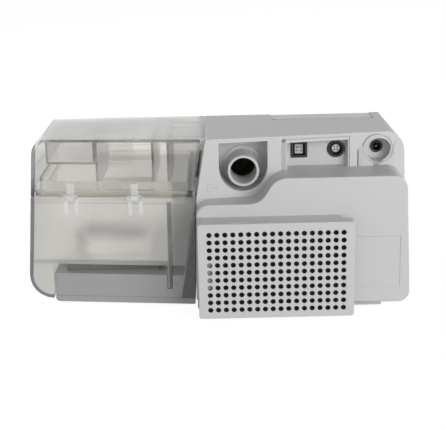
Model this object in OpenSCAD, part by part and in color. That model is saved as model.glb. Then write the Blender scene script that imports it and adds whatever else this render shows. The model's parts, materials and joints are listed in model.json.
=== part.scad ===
// Bilevel breathing therapy machine with a docked heated humidifier.
// Millimetres, +Z up. The origin lies under the middle of the whole machine, on the table.
// The control face looks along -Y, the filter and the sockets along +Y.
// The main unit stands on the -X side and the clear humidifier on the +X side.

/* [Overall size] */
// Width of the main unit at its base
main_w = 157.3; // [152:0.1:166]
// Width of the humidifier at its base
humidifier_w = 125.2; // [120:0.1:132]
// Height of the rear top edge above the table
body_h = 125; // [120:0.5:135]
// Depth from the front face to the face of the filter cap
body_d = 186; // [180:0.5:196]
// Distance that the main unit's outer side leans in over the height
side_lean = 4.4; // [3:0.1:6]
// Distance that the humidifier's outer side leans in over the height
hum_lean = 10; // [8:0.1:11]
// Distance that the joint between the two units leans over the height
joint_lean = 9.5; // [8.5:0.1:10.5]
// Drop of the parting line of housings and chamber below the rear top edge
seam_drop = 43; // [41:0.5:45]
// Fall of the top from back to front in degrees
top_fall = 2.2; // [1.5:0.1:3]
// Height of the control face's lower edge above the parting line
fascia_rise = 0.3; // [0.2:0.1:0.6]
// Depth of the sloping control face
fascia_d = 29; // [26:0.5:33]
// Height of the main unit's underside above the table
ground_gap = 6; // [5:0.2:8]
// Radius of the main unit's upper outer corner
main_shoulder_r = 16; // [13:0.5:17]

/* [Walls] */
// Wall of the moulded housings
wall = 2.4; // [2:0.1:3]
// Wall of the clear humidifier parts
clear_wall = 2.4; // [2:0.1:3]
// Gap between the two docked units
dock_gap = 0.5; // [0.3:0.1:0.8]
// Gap around flush covers, buttons and doors
part_gap = 0.3; // [0.2:0.05:0.4]

/* [Rear panel] */
// Distance of the panel's joint end behind the middle
panel_y = 57.6; // [56:0.2:60]
// Turn of the main unit's panel, seen from above, in degrees
panel_turn = 8.5; // [7:0.1:10]
// Turn of the humidifier's rear wall, seen from above, in degrees
chamber_turn = 7.4; // [6:0.1:9]
// Drop of the high ledge over the filter bulge below the rear top edge
ledge_drop = 25; // [24:0.5:26]
// Radius of the S-bend between the two ledges
ledge_bend = 14; // [12:0.5:15]

/* [Filter] */
// Width of the filter cap
cap_w = 108.1; // [106:0.1:111]
// Drop of the filter cap's top edge below the parting line
cap_drop = 8.8; // [8:0.1:10]
// Thickness of the filter cap
cap_t = 9.3; // [8.5:0.1:11]
// Depth of the neck that the cap closes
neck_t = 9.3; // [8.5:0.1:11]
// Distance between neighbouring holes of the cap
hole_pitch = 5.45; // [5.3:0.01:5.6]
// Diameter of the holes of the cap
hole_d = 3.6; // [2.6:0.1:3.9]
// Least distance of the hole pattern from the cap's edges
hole_margin = 4.2; // [4.1:0.1:6]

/* [Air outlet] */
// Diameter of the outlet at its mouth
outlet_d = 22.4; // [22:0.1:23]
// Length of the outlet in front of the recess floor
outlet_l = 21; // [19:0.5:23]
// Wall of the outlet
outlet_wall = 1.8; // [1.5:0.1:2.4]
// Distance from the joint to the middle of the outlet
outlet_in = 26.5; // [25:0.5:29]
// Distance from the top edge down to the middle of the outlet
outlet_drop = 23.7; // [22.5:0.1:25]
// Half width of the U-shaped recess
recess_r = 17.3; // [17:0.1:18.5]

/* [Sockets] */
// Width of the pocket that holds the two data sockets
pocket_w = 43.6; // [42:0.2:46]
// Height of the pocket
pocket_h = 20; // [18:0.5:21]
// Depth of the pocket
pocket_t = 11; // [9:0.5:13]
// Side of the square socket
square_s = 11.6; // [10.5:0.1:12.5]
// Diameter of the round socket
round_d = 12.4; // [11.5:0.1:13.5]
// Diameter of the round bowl around the power inlet
bowl_d = 17.6; // [17:0.1:19]
// Depth of the bowl
bowl_t = 11; // [10:0.5:12]
// Diameter of the power inlet
jack_d = 8.8; // [8:0.1:9.5]

/* [Controls] */
// Width of the display cover
cover_w = 79; // [76:0.5:82]
// Length of the display cover on the flat top
cover_back = 32; // [28:0.5:34]
// Width of the display window
window_w = 64; // [58:0.5:68]
// Distance of the display window from the upper edge of the sloping face
window_top = 4.8; // [4.4:0.1:7]
// Distance of the display window above the buttons
window_gap = 3.6; // [3.4:0.1:5]
// Diameter of the control knob
knob_d = 26; // [22:0.5:28]
// Height of the knob above the sloping face
knob_h = 10.5; // [9:0.5:11]
// Push travel of the knob
knob_push = 1.2; // [0.8:0.1:1.5]
// Width of each button
button_w = 15; // [13:0.5:16]
// Height of each button
button_h = 6.4; // [5.6:0.1:6.8]
// Distance of the buttons' middle from the lower edge of the sloping face
button_in = 11.2; // [10.8:0.1:12]
// Push travel of each button
button_push = 0.9; // [0.6:0.1:1.2]

/* [Humidifier] */
// Height of the top of the base block
base_h = 23.5; // [22:0.5:25]
// Height of the heater plate's top
heater_h = 31; // [30:0.5:32]
// Drop of the docking wall's top below the parting line
dock_drop = 14; // [13:0.5:17]
// Radius of the chamber's lower outer corner
skirt_r = 17; // [15:0.5:19]
// Width of the chamber's skirt outside the base block
skirt_w = 20; // [19:0.5:21]
// Radius of the humidifier's upper outer corner
shoulder_r = 12; // [10:0.5:14]
// Thickness of the chamber floor
floor_t = 3.4; // [3:0.1:4]

/* [Blower] */
// Radius of the blower casing
blower_r = 36; // [34:0.5:37]
// Radius of the impeller
impeller_r = 27; // [25:0.5:28]
// Number of impeller blades
blade_count = 9; // [7:1:11]
// Radius of the blower motor
motor_r = 14; // [12:0.5:15]

/* [Hidden] */

$fn = 48;
shell_color = [0.80, 0.80, 0.80];
base_color = [0.60, 0.60, 0.61];
dark_color = [0.16, 0.16, 0.17];
clear_color = [0.78, 0.79, 0.78, 0.45];
board_color = [0.10, 0.36, 0.22];
metal_color = [0.72, 0.73, 0.75];
far = 400;
corner_steps = 6;

// Main lines of the two units; the lean of the chamber's skirt shifts the middle
skirt_low = 4.4;
skirt_in = (hum_lean - side_lean) * (skirt_low + skirt_r) / body_h;
main_l = -(main_w + humidifier_w - skirt_in) / 2;
main_r = main_l + main_w;
hum_r = main_r + humidifier_w;
seam_h = body_h - seam_drop;
ledge_h = body_h - ledge_drop;
front_y = -body_d / 2;
cap_y = body_d / 2;
neck_y = cap_y - cap_t;
bulge_y = neck_y - neck_t;
kink_drop = joint_lean * 0.21;
joint_top = main_r - joint_lean;

// The main unit's joint side bends at the seam; each part of the line can be read beyond the bend.
// The chamber follows the upper part of it over its whole height.
function low_joint(z) = main_r - kink_drop * z / seam_h;
function high_joint(z) = main_r - kink_drop - (joint_lean - kink_drop) * (z - seam_h) / seam_drop;
function chamber_line(z, d) = high_joint(z) + dock_gap + d;
function joint_x(z) = z <= seam_h ? low_joint(z) : high_joint(z);
function side_in(z) = side_lean * z / body_h;
function hum_side(z) = hum_r - hum_lean * z / body_h;
function panel_at(x) = panel_y + (x - joint_top) * tan(panel_turn);
function chamber_at(x) = panel_y - 1.5 - (x - joint_top) * tan(chamber_turn);
function top_z(y) = body_h - (panel_y - y) * tan(top_fall);

// Outlines: a corner list in counter-clockwise order, moved inwards by d, its corners rounded
function unit(v) = v / norm(v);
function left_of(v) = [-v[1], v[0]];
function turning(a, b, c) = cross(b - a, c - b);
function moved(a, b, c, d) = let (m = left_of(unit(b - a)), n = left_of(unit(c - b)))
    b + d * (m + n) / (1 + m * n);
function arc_points(a, b, c, r) = r <= 0 ? [b] : let (
    u = unit(a - b),
    v = unit(c - b),
    half = acos(u * v) / 2,
    reach = min(r / tan(half), 0.48 * norm(a - b), 0.48 * norm(c - b)),
    true_r = reach * tan(half),
    mid = b + unit(u + v) * true_r / sin(half),
    from = b + u * reach - mid,
    to = b + v * reach - mid,
    start = atan2(from[1], from[0]),
    sweep = atan2(cross(from, to), from * to))
    [for (i = [0 : corner_steps])
        let (angle = start + sweep * i / corner_steps) mid + true_r * [cos(angle), sin(angle)]];
function corner_r(r, inwards, d) = r == 0 ? 0 : inwards > 0 ? max(r - d, 0.4) : r + d;
function rounded(p, r, d = 0) = let (
    n = len(p),
    q = [for (i = [0 : n - 1]) moved(p[(i + n - 1) % n], p[i], p[(i + 1) % n], d)])
    [for (i = [0 : n - 1])
        let (before = (i + n - 1) % n, after = (i + 1) % n)
        each arc_points(q[before], q[i], q[after], corner_r(r[i], turning(p[before], p[i], p[after]), d))];

// An outline in x and z drawn out along y, and one in y and z drawn out along x
module slab_y(points, y0, y1) {
    translate([0, y1, 0]) rotate([90, 0, 0]) linear_extrude(y1 - y0) polygon(points);
}
module slab_x(points, x0, x1) {
    translate([x0, 0, 0]) rotate([90, 0, 90]) linear_extrude(x1 - x0) polygon(points);
}
module slab_z(points, z0, z1) {
    translate([0, 0, z0]) linear_extrude(z1 - z0) polygon(points);
}
module box(low, high) {
    translate(low) cube(high - low);
}
module rod_x(y, z, x0, x1, r) {
    translate([x0, y, z]) rotate([0, 90, 0]) cylinder(r = r, h = x1 - x0);
}
module rod_y(x, z, y0, y1, r) {
    translate([x, y1, z]) rotate([90, 0, 0]) cylinder(r = r, h = y1 - y0);
}
module rod_z(x, y, z0, z1, r) {
    translate([x, y, z0]) cylinder(r = r, h = z1 - z0);
}

// Side view shared by both units, begun at its lower front corner
fascia_back = front_y + fascia_d;
fascia_low = seam_h + fascia_rise;
fascia_h = top_z(fascia_back) - fascia_low;
fascia_angle = atan2(fascia_h, fascia_d);
fascia_l = norm([fascia_h, fascia_d]);
front_tuck = 7;
function side_view(low) = [[front_y + front_tuck, low], [far, low], [far, top_z(far)],
    [fascia_back, top_z(fascia_back)], [front_y, fascia_low]];
side_r = [8, 0, 0, 7, 10];

// Places a piece on the sloping control face: x across, v up the slope, local +Z outwards
module on_fascia(x, v) {
    translate([x, front_y + v * cos(fascia_angle), fascia_low + v * sin(fascia_angle)])
        rotate([fascia_angle, 0, 0]) children();
}

// Outer form of the main unit, moved inwards by d
main_front = [[main_l + side_in(ground_gap), ground_gap], [joint_x(ground_gap), ground_gap],
    [joint_x(seam_h), seam_h], [joint_x(body_h), body_h], [main_l + side_lean, body_h]];
main_front_r = [8, 2, 0, 2.5, main_shoulder_r];
main_plan = [[main_l, front_y], [main_r + far, front_y], [main_r + far, panel_at(main_r + far)],
    [main_l, panel_at(main_l)]];
main_plan_r = [12, 0, 0, 5];
module main_form(d = 0) {
    intersection() {
        slab_y(rounded(main_front, main_front_r, d), -far, far);
        slab_x(rounded(side_view(ground_gap), side_r, d), -far, far);
        slab_z(rounded(main_plan, main_plan_r, d), 0, far);
    }
}
module below(z) {
    box([-far, -far, -far], [far, far, z]);
}
module above(z) {
    box([-far, -far, z], [far, far, far]);
}

// Filter bulge at the back of the main unit
bulge_l = main_l + side_in(ground_gap) + 4;
bulge_r = main_r - 2;
bulge_low = ground_gap + 1.5;
step_x = joint_top - 37.5;
step_w = 10.8;
bulge_front = [[bulge_l, bulge_low], [bulge_r, bulge_low], [bulge_r, seam_h], [step_x, seam_h],
    [step_x - step_w, ledge_h], [bulge_l + 3.6, ledge_h]];
bulge_round = [8, 1.5, 9, ledge_bend, ledge_bend, 9.5];
module bulge(d, y1) {
    slab_y(rounded(bulge_front, bulge_round, d), 0, y1);
}

// Filter cap and neck
cap_cx = joint_top - 47.2;
cap_l = cap_cx - cap_w / 2;
cap_r = cap_cx + cap_w / 2;
cap_low = 4.7;
cap_top = seam_h - cap_drop;
cap_h = cap_top - cap_low;
hole_cols = floor((cap_w - 2 * hole_margin) / hole_pitch);
hole_rows = floor((cap_h - 2 * hole_margin) / hole_pitch);
hole_x = cap_cx - 0.2;
hole_z = cap_low + cap_h / 2 - 0.7;
cap_wall = 2.2;
neck_l = cap_l + 7;
neck_r = cap_r - 0.6;
neck_low = bulge_low + 0.8;
neck_in = wall;
frame_rim = 3;
frame_t = 2;
fine_t = 2;
foam_gap = 0.3;
foam_t = neck_t - frame_t - fine_t + 1;
tab_t = 6;
thin_tab_t = 1.6;
tab_h = 21.5;
tab_z = cap_low + cap_h / 2 - 2.7;
media_l = neck_l + neck_in + thin_tab_t + 0.6;
media_r = neck_r - neck_in - tab_t - 0.6;
media_low = neck_low + neck_in + 0.4;
media_top = cap_top - neck_in - 0.4;

// Outlet recess in the panel
outlet_x = joint_top - outlet_in;
outlet_z = body_h - outlet_drop;
recess_z = outlet_z + 2.4;
recess_top = body_h - wall - 0.9;
recess_t = 20;
recess_y = panel_at(outlet_x) - recess_t;
outlet_r = outlet_d / 2;
outlet_base_r = outlet_r + 1;
outlet_foot = 6;
outlet_bore_r = outlet_r - outlet_wall;

// Pocket of the data sockets, and the power bowl
pocket_r = joint_top - 56.9;
pocket_l = pocket_r - pocket_w;
pocket_low = ledge_h;
pocket_top = pocket_low + pocket_h;
pocket_y = panel_at(pocket_l + pocket_w / 2) - pocket_t;
socket_z = pocket_low + pocket_h * 0.59;
pocket_draft = [0.26, 0.20];
pocket_frame = 2;
pocket_step = 0.8;
square_x = pocket_r - 10.6;
round_x = square_x - 26.8;
socket_out = 1.2;
bowl_x = main_l + 23.2;
bowl_z = body_h - 13.5;
bowl_y = panel_at(bowl_x) - bowl_t;
bowl_rim = 1.8;
seat_y = panel_at(bowl_x - bowl_d / 2 - bowl_rim);
seat_w = 15.4;
seat_top = pocket_low + 11.8;

// Display cover and controls
cover_l = main_l + 16.5;
cover_r = cover_l + cover_w;
cover_t = 1.2;
cover_sink = 0.5;
cover_low = seam_h + 1.2;
cover_y = fascia_back + cover_back;
cover_lip = 2;
window_t = 1.2;
window_low = button_in + button_h / 2 + window_gap;
window_h = fascia_l - window_top - window_low;
window_v = window_low + window_h / 2;
window_x = (cover_l + cover_r) / 2;
button_v = button_in;
button_step = 22;
knob_x = joint_top - 21;
knob_v = fascia_l * 0.43;
shaft_r = 3;
run_gap = 0.05;
board_t = 1.6;
board_top = -9;

// Humidifier forms
base_r = hum_r - skirt_w;
chamber_gap = 0.5;
seam_gap = 0.4;
over = 20;
tank_front = [[chamber_line(skirt_low, 0), skirt_low], [hum_side(skirt_low), skirt_low],
    [hum_side(seam_h + over), seam_h + over], [chamber_line(seam_h + over, 0), seam_h + over]];
tank_front_r = [1.5, skirt_r, 0, 0];
lid_front = [[chamber_line(seam_h - over, 0), seam_h - over], [hum_side(seam_h - over), seam_h - over],
    [hum_side(body_h), body_h], [chamber_line(body_h, 0), body_h]];
lid_front_r = [0, 0, shoulder_r, 2.5];
hum_plan = [[-far, front_y], [hum_r, front_y], [hum_r, chamber_at(hum_r)], [-far, chamber_at(-far)]];
hum_plan_r = [0, 12, 4, 0];
module hum_form(front, front_r, low, d) {
    intersection() {
        slab_y(rounded(front, front_r, d), -far, far);
        slab_x(rounded(side_view(low), side_r, d), -far, far);
        slab_z(rounded(hum_plan, hum_plan_r, d), 0, far);
    }
}
module tank_form(d = 0) {
    hum_form(tank_front, tank_front_r, skirt_low, d);
}
module lid_form(d = 0) {
    hum_form(lid_front, lid_front_r, skirt_low, d);
}

// Places inside the main unit
floor_z = ground_gap + wall;
port_d = 16;
blow_z = 43;
blow_y = 6;
port_z = seam_h - 30;
return_y = 12;
return_z = outlet_z;
elbow_r = 11.4;
elbow_wall = 1.6;
elbow_bore = elbow_r - elbow_wall;
blower_x = main_l + 62;
blower_y = -22;
volute_low = 20;
volute_mid = 36;
volute_top = 50.5;
volute_wall = 2;
duct_end = blower_x + 46;
mount_r = 4.5;
mount_places = [for (a = [60, 180, 300]) [blower_x, blower_y] + (blower_r - 5) * [cos(a), sin(a)]];
case_l = main_l + 20;
case_r = joint_top - 51;
case_y = -36;
case_step = 18;
case_back = bulge_y - wall - 6;
case_low = floor_z + 1.6;
case_arm = volute_top + 3.4;
case_top = seam_h - 10;
case_wall = 1.8;
mouth_l = neck_l + 8;
mouth_r = case_r - 5;
mouth_low = media_low + 6;
foam_back = 16;
duct_half = 9;
spigot_l = 10;
spigot_r = 6.6;
foot_r = 7;
foot_t = 1.8;
cover_out = 3;
foot_places = [for (x = [main_l + 32, joint_top - 10], y = [front_y + 25, bulge_y - 24.4]) [x, y]];
post_r = 4;
screw_r = 1.5;
post_places = [[main_l + 12, front_y + 40], [joint_top + 1, front_y + 23],
    [main_l + 12, panel_y - 33.6], [joint_top - 8, panel_y - 11.6]];

// Bores of the two air ports in the walls that face each other
module air_port(y, z, x0, x1, r = port_d / 2) {
    rod_x(y, z, x0, x1, r);
}

module lower_housing() {
    color(shell_color)
    difference() {
        union() {
            difference() {
                union() {
                    intersection() { main_form(); below(seam_h); }
                    difference() {
                        bulge(0, bulge_y);
                        intersection() { main_form(-0.01); above(seam_h); }
                    }
                    box([neck_l, bulge_y - wall, neck_low], [neck_r, neck_y, cap_top]);
                }
                intersection() { main_form(wall); below(seam_h + 1); }
                bulge(wall, bulge_y - wall);
                box([neck_l + neck_in, bulge_y, neck_low + neck_in],
                    [neck_r - neck_in, cap_y, cap_top - neck_in]);
                box([neck_l + neck_in + frame_rim, bulge_y - 2 * wall, neck_low + neck_in + frame_rim],
                    [neck_r - neck_in - frame_rim, cap_y, cap_top - neck_in - frame_rim]);
            }
            for (p = post_places)
                rod_z(p[0], p[1], ground_gap + 0.5, seam_h, post_r);
        }
        for (p = post_places) {
            rod_z(p[0], p[1], 0, seam_h, screw_r + 0.2);
            rod_z(p[0], p[1], 0, ground_gap + 4, screw_r * 2);
        }
        air_port(blow_y, port_z, 0, main_r + 10);
        // recess opposite the humidifier's contacts
        box([joint_x(contact_z) - 1.2, contact_y - 9, contact_z - 4], [far, contact_y + 9, contact_z + 4]);
        // bare rectangle sunk into the rear face
        box([cap_l - 34.8, bulge_y - 0.4, 19.2], [cap_l - 3.8, cap_y, 56.4]);
        // card door opening in the outer side
        on_side(card_y, card_z) {
            box([-door_w / 2 - part_gap, -door_h / 2 - part_gap, -2 * pin_r - part_gap],
                [door_w / 2 + part_gap, door_h / 2 + part_gap, 5]);
            box([-door_w / 2 + 2, -door_h / 2 + 4, -wall - 5], [door_w / 2 - 2, door_h / 2 - 2, 5]);
            rod_x(-door_h / 2 + pin_r, -pin_r, -door_w / 2 - 1.6, door_w / 2 + 1.6, 0.6 + run_gap);
        }
    }
}

// Card door in the outer side wall; local x runs along the machine, local y up, local z outwards
card_in = 61;
card_y = front_y + card_in;
card_z = 44;
door_w = 34;
door_h = 20;
pin_r = 0.9;
module on_side(y, z) {
    translate([main_l + side_in(z), y, z])
        rotate([0, atan2(side_lean, body_h), 0]) rotate([90, 0, -90]) children();
}
module card_door() {
    color(shell_color) on_side(card_y, card_z) {
        difference() {
            box([-door_w / 2, -door_h / 2 + pin_r, -2 * pin_r], [door_w / 2, door_h / 2, 0]);
            box([-6, door_h / 2 - 2.4, -0.8], [6, door_h / 2 - 1, 1]);
        }
        rod_x(-door_h / 2 + pin_r, -pin_r, -door_w / 2, door_w / 2, pin_r);
        rod_x(-door_h / 2 + pin_r, -pin_r, -door_w / 2 - 1.4, door_w / 2 + 1.4, 0.6);
    }
}
slot_w = 28;
slot_h = 6;
slot_l = 16;
slot_drop = 5;
slot_wall = 2;
card_t = 2.4;
module card_slot() {
    color(dark_color) on_side(card_y, card_z) {
        difference() {
            box([-slot_w / 2, -slot_drop, -wall - slot_l], [slot_w / 2, slot_h - slot_drop, -wall - 0.2]);
            box([slot_wall - slot_w / 2, slot_wall - slot_drop - 0.2, slot_wall - wall - slot_l],
                [slot_w / 2 - slot_wall, slot_wall - slot_drop - 0.2 + card_t, 0]);
        }
    }
}

// U-shaped outline of the outlet recess, grown by d
module recess_shape(d, y0, y1) {
    rod_y(outlet_x, recess_z, y0, y1, recess_r + d);
    box([outlet_x - recess_r - d, y0, recess_z], [outlet_x + recess_r + d, y1, recess_top + d]);
}
// Pocket with a flat back at y0 whose sides open outwards
module pocket_shape(d, y0) {
    reach = 2 * pocket_t;
    slab_z([[pocket_l - d, y0], [pocket_r + d, y0],
        [pocket_r + d + pocket_draft[1] * reach, y0 + reach],
        [pocket_l - d - pocket_draft[0] * reach, y0 + reach]], pocket_low - d, pocket_top + d);
}
// Flat seat around the power bowl, square to the machine, with a side notch open to the ledge
module bowl_seat() {
    rod_y(bowl_x, bowl_z, seat_y, far, bowl_d / 2 + bowl_rim);
    box([bowl_x, seat_y, pocket_low], [bowl_x + seat_w, far, seat_top]);
}
// Shallow step along the top of the pocket, parallel to the panel
module pocket_frame_step() {
    left = pocket_l - pocket_draft[0] * pocket_t;
    right = pocket_r + pocket_draft[1] * pocket_t;
    slab_z([[left, panel_at(left) - pocket_step], [right, panel_at(right) - pocket_step],
        [right, far], [left, far]], pocket_low, pocket_top + pocket_frame);
}
module cover_zone(d) {
    box([cover_l - d, -far, cover_low - d], [cover_r + d, cover_y + d, far]);
}
board_posts = [for (x = [cover_l - 4.4, joint_top - 8.4], v = [15, fascia_l - 8.5]) [x, v]];
module upper_housing() {
    color(shell_color)
    difference() {
        union() {
            difference() {
                main_form();
                main_form(wall);
            }
            intersection() {
                main_form();
                union() {
                    recess_shape(wall, recess_y - wall, far);
                    pocket_shape(wall, pocket_y - wall);
                    rod_y(bowl_x, bowl_z, bowl_y - wall, far, bowl_d / 2 + wall);
                    box([bowl_x, seat_y - wall, pocket_low - wall],
                        [bowl_x + seat_w + wall, far, seat_top + wall]);
                }
            }
            intersection() {
                difference() { main_form(wall - 0.2); main_form(wall + 1.4); }
                difference() { cover_zone(4); cover_zone(-cover_lip); }
            }
            intersection() {
                main_form(1);
                for (p = board_posts)
                    on_fascia(p[0], p[1]) rod_z(0, 0, board_top, -1, 2.4);
            }
            intersection() {
                main_form(1);
                for (p = post_places)
                    rod_z(p[0], p[1], seam_h, body_h, post_r);
            }
        }
        below(seam_h);
        recess_shape(0, recess_y, far);
        pocket_shape(0, pocket_y);
        pocket_frame_step();
        bowl_seat();
        rod_y(bowl_x, bowl_z, bowl_y, far, bowl_d / 2);
        rod_y(bowl_x, bowl_z, bowl_y - 2 * wall, far, jack_d / 2 + 0.1);
        rod_y(outlet_x, outlet_z, recess_y - 2 * wall, far, outlet_base_r + 0.1);
        // openings for the sockets
        rod_y(round_x, socket_z, pocket_y - 2 * wall, far, round_d / 2 + 0.1);
        box([square_x - square_s / 2 - 0.1, pocket_y - 2 * wall, socket_z - square_s / 2 - 0.1],
            [square_x + square_s / 2 + 0.1, far, socket_z + square_s / 2 + 0.1]);
        difference() {
            cover_zone(part_gap);
            main_form(cover_sink + cover_t);
        }
        cover_zone(-cover_lip);
        on_fascia(knob_x, knob_v) rod_z(0, 0, -2 * wall, 5, bush_r + 0.2);
        air_port(return_y, return_z, -5, main_r + 10, elbow_r + 0.2);
        for (p = post_places)
            rod_z(p[0], p[1], seam_h - 1, seam_h + 14, screw_r);
    }
}

module bottom_cover() {
    color(shell_color)
    difference() {
        box([bulge_l + 19, front_y + 16, foot_t], [main_r - 1.2, bulge_y - 10, ground_gap]);
        box([bulge_l + 21, front_y + 18, foot_t + 1.6], [main_r - 3.2, bulge_y - 12, ground_gap + 1]);
        for (p = foot_places)
            rod_z(p[0], p[1], foot_t - 1, foot_t + 0.8, foot_r);
    }
}
module main_feet() {
    color(dark_color)
    for (p = foot_places)
        rod_z(p[0], p[1], 0, foot_t + 0.8, foot_r - 0.1);
}
module housing_screws() {
    color(metal_color)
    for (p = post_places) {
        rod_z(p[0], p[1], ground_gap + 1.8, ground_gap + 4, screw_r * 2 - 0.2);
        rod_z(p[0], p[1], ground_gap + 4, seam_h + 8, screw_r - 0.1);
    }
}

// Filter group at the back; a wide and a thin tab hold the cap in the neck
module cap_tabs(d) {
    for (t = [[neck_l + neck_in + 0.3, thin_tab_t], [neck_r - neck_in - 0.3 - tab_t, tab_t]])
        box([t[0] - d, bulge_y + frame_t + 1 - d, tab_z - tab_h / 2 - d],
            [t[0] + t[1] + d, cap_y - 1, tab_z + tab_h / 2 + d]);
}
module filter_cap() {
    color(shell_color)
    difference() {
        union() {
            difference() {
                box([cap_l, neck_y, cap_low], [cap_r, cap_y, cap_top]);
                box([cap_l + cap_wall, neck_y - 1, cap_low + cap_wall],
                    [cap_r - cap_wall, cap_y - cap_wall, cap_top - cap_wall]);
            }
            cap_tabs(0);
        }
        for (c = [0 : hole_cols - 1], r = [0 : hole_rows - 1])
            translate([(c - (hole_cols - 1) / 2) * hole_pitch, 0, (r - (hole_rows - 1) / 2) * hole_pitch])
                rod_y(hole_x, hole_z, cap_y - cap_wall - 0.1, cap_y + 1, hole_d / 2);
        // finger hollow in the top edge
        rod_y(cap_cx + 24.1, cap_top + 22.8, cap_y - 4.2, cap_y - 1.4, 24);
    }
}
module media(y, t) {
    box([media_l, y, media_low], [media_r, y + t, media_top]);
}
module coarse_filter() {
    inset = cap_wall + foam_gap;
    color([0.07, 0.07, 0.07])
    difference() {
        union() {
            media(bulge_y + frame_t + fine_t, foam_t);
            box([cap_l + inset, neck_y + foam_gap, cap_low + inset],
                [cap_r - inset, cap_y - inset, cap_top - inset]);
        }
        cap_tabs(0.4);
    }
}
module fine_filter() {
    color([0.93, 0.93, 0.91]) media(bulge_y + frame_t, fine_t);
}
frame_cols = 6;
frame_rows = 4;
frame_bar = 2;
module filter_frame() {
    across = (media_r - media_l - frame_bar) / frame_cols;
    up = (media_top - media_low - frame_bar) / frame_rows;
    color(shell_color)
    difference() {
        box([neck_l + neck_in, bulge_y, neck_low + neck_in],
            [neck_r - neck_in, bulge_y + frame_t, cap_top - neck_in]);
        for (c = [0 : frame_cols - 1], r = [0 : frame_rows - 1])
            translate([media_l + frame_bar + c * across, bulge_y - 1, media_low + frame_bar + r * up])
                cube([across - frame_bar, frame_t + 2, up - frame_bar]);
    }
}

// Inlet muffler: a tall box behind the filter with an arm over the blower
module case_shape(d) {
    box([case_l + d, case_step + d, case_low + d], [case_r - d, case_back - d, case_top - d]);
    box([case_l + d, case_y + d, case_arm + d], [case_r - d, case_step + 2 * d + 0.1, case_top - d]);
}
module muffler_case() {
    color(base_color)
    difference() {
        case_shape(0);
        case_shape(case_wall);
        box([mouth_l, case_back - 2 * case_wall, mouth_low], [mouth_r, case_back + 1, case_top - 6]);
        rod_z(blower_x, blower_y, case_arm - 1, case_arm + 2 * case_wall, inlet_r);
    }
}
inlet_r = 11;
module muffler_foam() {
    color([0.25, 0.25, 0.27])
    difference() {
        box([case_l + case_wall + 0.3, case_step + case_wall + 0.3, case_low + case_wall],
            [case_r - case_wall - 0.3, case_back - case_wall - 0.3, case_arm - 4]);
        box([mouth_l, case_step + foam_back, mouth_low], [mouth_r, case_back + 1, case_arm]);
    }
}
module inlet_gasket() {
    color(dark_color)
    difference() {
        rod_z(blower_x, blower_y, volute_top, case_arm, inlet_r + 3);
        rod_z(blower_x, blower_y, volute_top - 1, case_arm + 1, inlet_r);
    }
}

// Blower
mount_pin_h = 4;
mount_pin_r = 1.5;
mount_rim = 1.5;
module volute_lower() {
    color([0.85, 0.85, 0.83])
    difference() {
        union() {
            rod_z(blower_x, blower_y, volute_low, volute_mid, blower_r);
            for (p = mount_places)
                rod_z(p[0], p[1], volute_low, volute_low + mount_pin_h, mount_r + mount_rim);
        }
        rod_z(blower_x, blower_y, volute_low + volute_wall, far, blower_r - volute_wall);
        rod_z(blower_x, blower_y, 0, far, motor_r + 0.1);
        for (p = mount_places)
            rod_z(p[0], p[1], 0, volute_low + mount_pin_h + 0.1, mount_pin_r + 0.1);
    }
}
module duct_shape(d, x0, x1) {
    box([x0, blow_y - duct_half + d, volute_mid + d], [x1, blow_y + duct_half - d, volute_top - d]);
}
module volute_upper() {
    color([0.85, 0.85, 0.83])
    difference() {
        union() {
            rod_z(blower_x, blower_y, volute_mid, volute_top, blower_r);
            duct_shape(0, blower_x, duct_end);
            rod_x(blow_y, blow_z, duct_end - 1, duct_end + spigot_l, spigot_r);
        }
        rod_z(blower_x, blower_y, volute_mid - 1, volute_top - volute_wall, blower_r - volute_wall);
        duct_shape(volute_wall, blower_x, duct_end - volute_wall);
        rod_x(blow_y, blow_z, duct_end - 10, duct_end + spigot_l + 1, spigot_r - 1.6);
        rod_z(blower_x, blower_y, volute_mid, far, inlet_r);
    }
}
motor_foot = 2.5;
motor_seat = 6;
motor_rim = 4;
motor_rim_t = 1.6;
module motor() {
    color([0.20, 0.20, 0.22])
    difference() {
        union() {
            rod_z(blower_x, blower_y, floor_z + motor_foot, volute_mid - volute_wall, motor_r);
            rod_z(blower_x, blower_y, volute_low - motor_rim_t, volute_low, motor_r + motor_rim);
        }
        rod_z(blower_x, blower_y, floor_z + motor_seat, far, motor_shaft_r + run_gap);
    }
}
motor_shaft_r = 1.6;
impeller_z = volute_mid - 1;
impeller_h = 9;
module motor_shaft() {
    color(metal_color)
        rod_z(blower_x, blower_y, floor_z + motor_seat + 0.3, impeller_z + impeller_h, motor_shaft_r);
}
hub_r = 5;
disc_t = 1.4;
blade_t = 1.2;
blade_in = 4;
blade_h = 8;
module impeller() {
    color([0.30, 0.32, 0.36])
    difference() {
        translate([blower_x, blower_y, impeller_z]) {
            cylinder(r = impeller_r, h = disc_t);
            cylinder(r = hub_r, h = impeller_h);
            for (i = [0 : blade_count - 1])
                rotate(360 * i / blade_count) translate([blade_in, -blade_t / 2, 0.4])
                    cube([impeller_r - blade_in - 0.6, blade_t, blade_h]);
        }
        rod_z(blower_x, blower_y, 0, far, motor_shaft_r);
    }
}
module blower_mounts() {
    color(dark_color)
    for (p = mount_places) {
        rod_z(p[0], p[1], floor_z, volute_low, mount_r);
        rod_z(p[0], p[1], volute_low, volute_low + mount_pin_h, mount_pin_r);
    }
}
hose_end = joint_x(port_z) - 12;
hose_start = duct_end + 13;
hose_bead = 0.7;
module hose_path(r, x0, x1) {
    run = [hose_end - hose_start, port_z - blow_z];
    rod_x(blow_y, blow_z, x0, hose_start, r);
    translate([hose_start, blow_y, blow_z]) {
        sphere(r = r + hose_bead);
        rotate([0, 90 - atan2(run[1], run[0]), 0]) cylinder(r = r, h = norm(run));
    }
    translate([hose_end, blow_y, port_z]) sphere(r = r + hose_bead);
    rod_x(blow_y, port_z, hose_end, x1, r);
}
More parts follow.
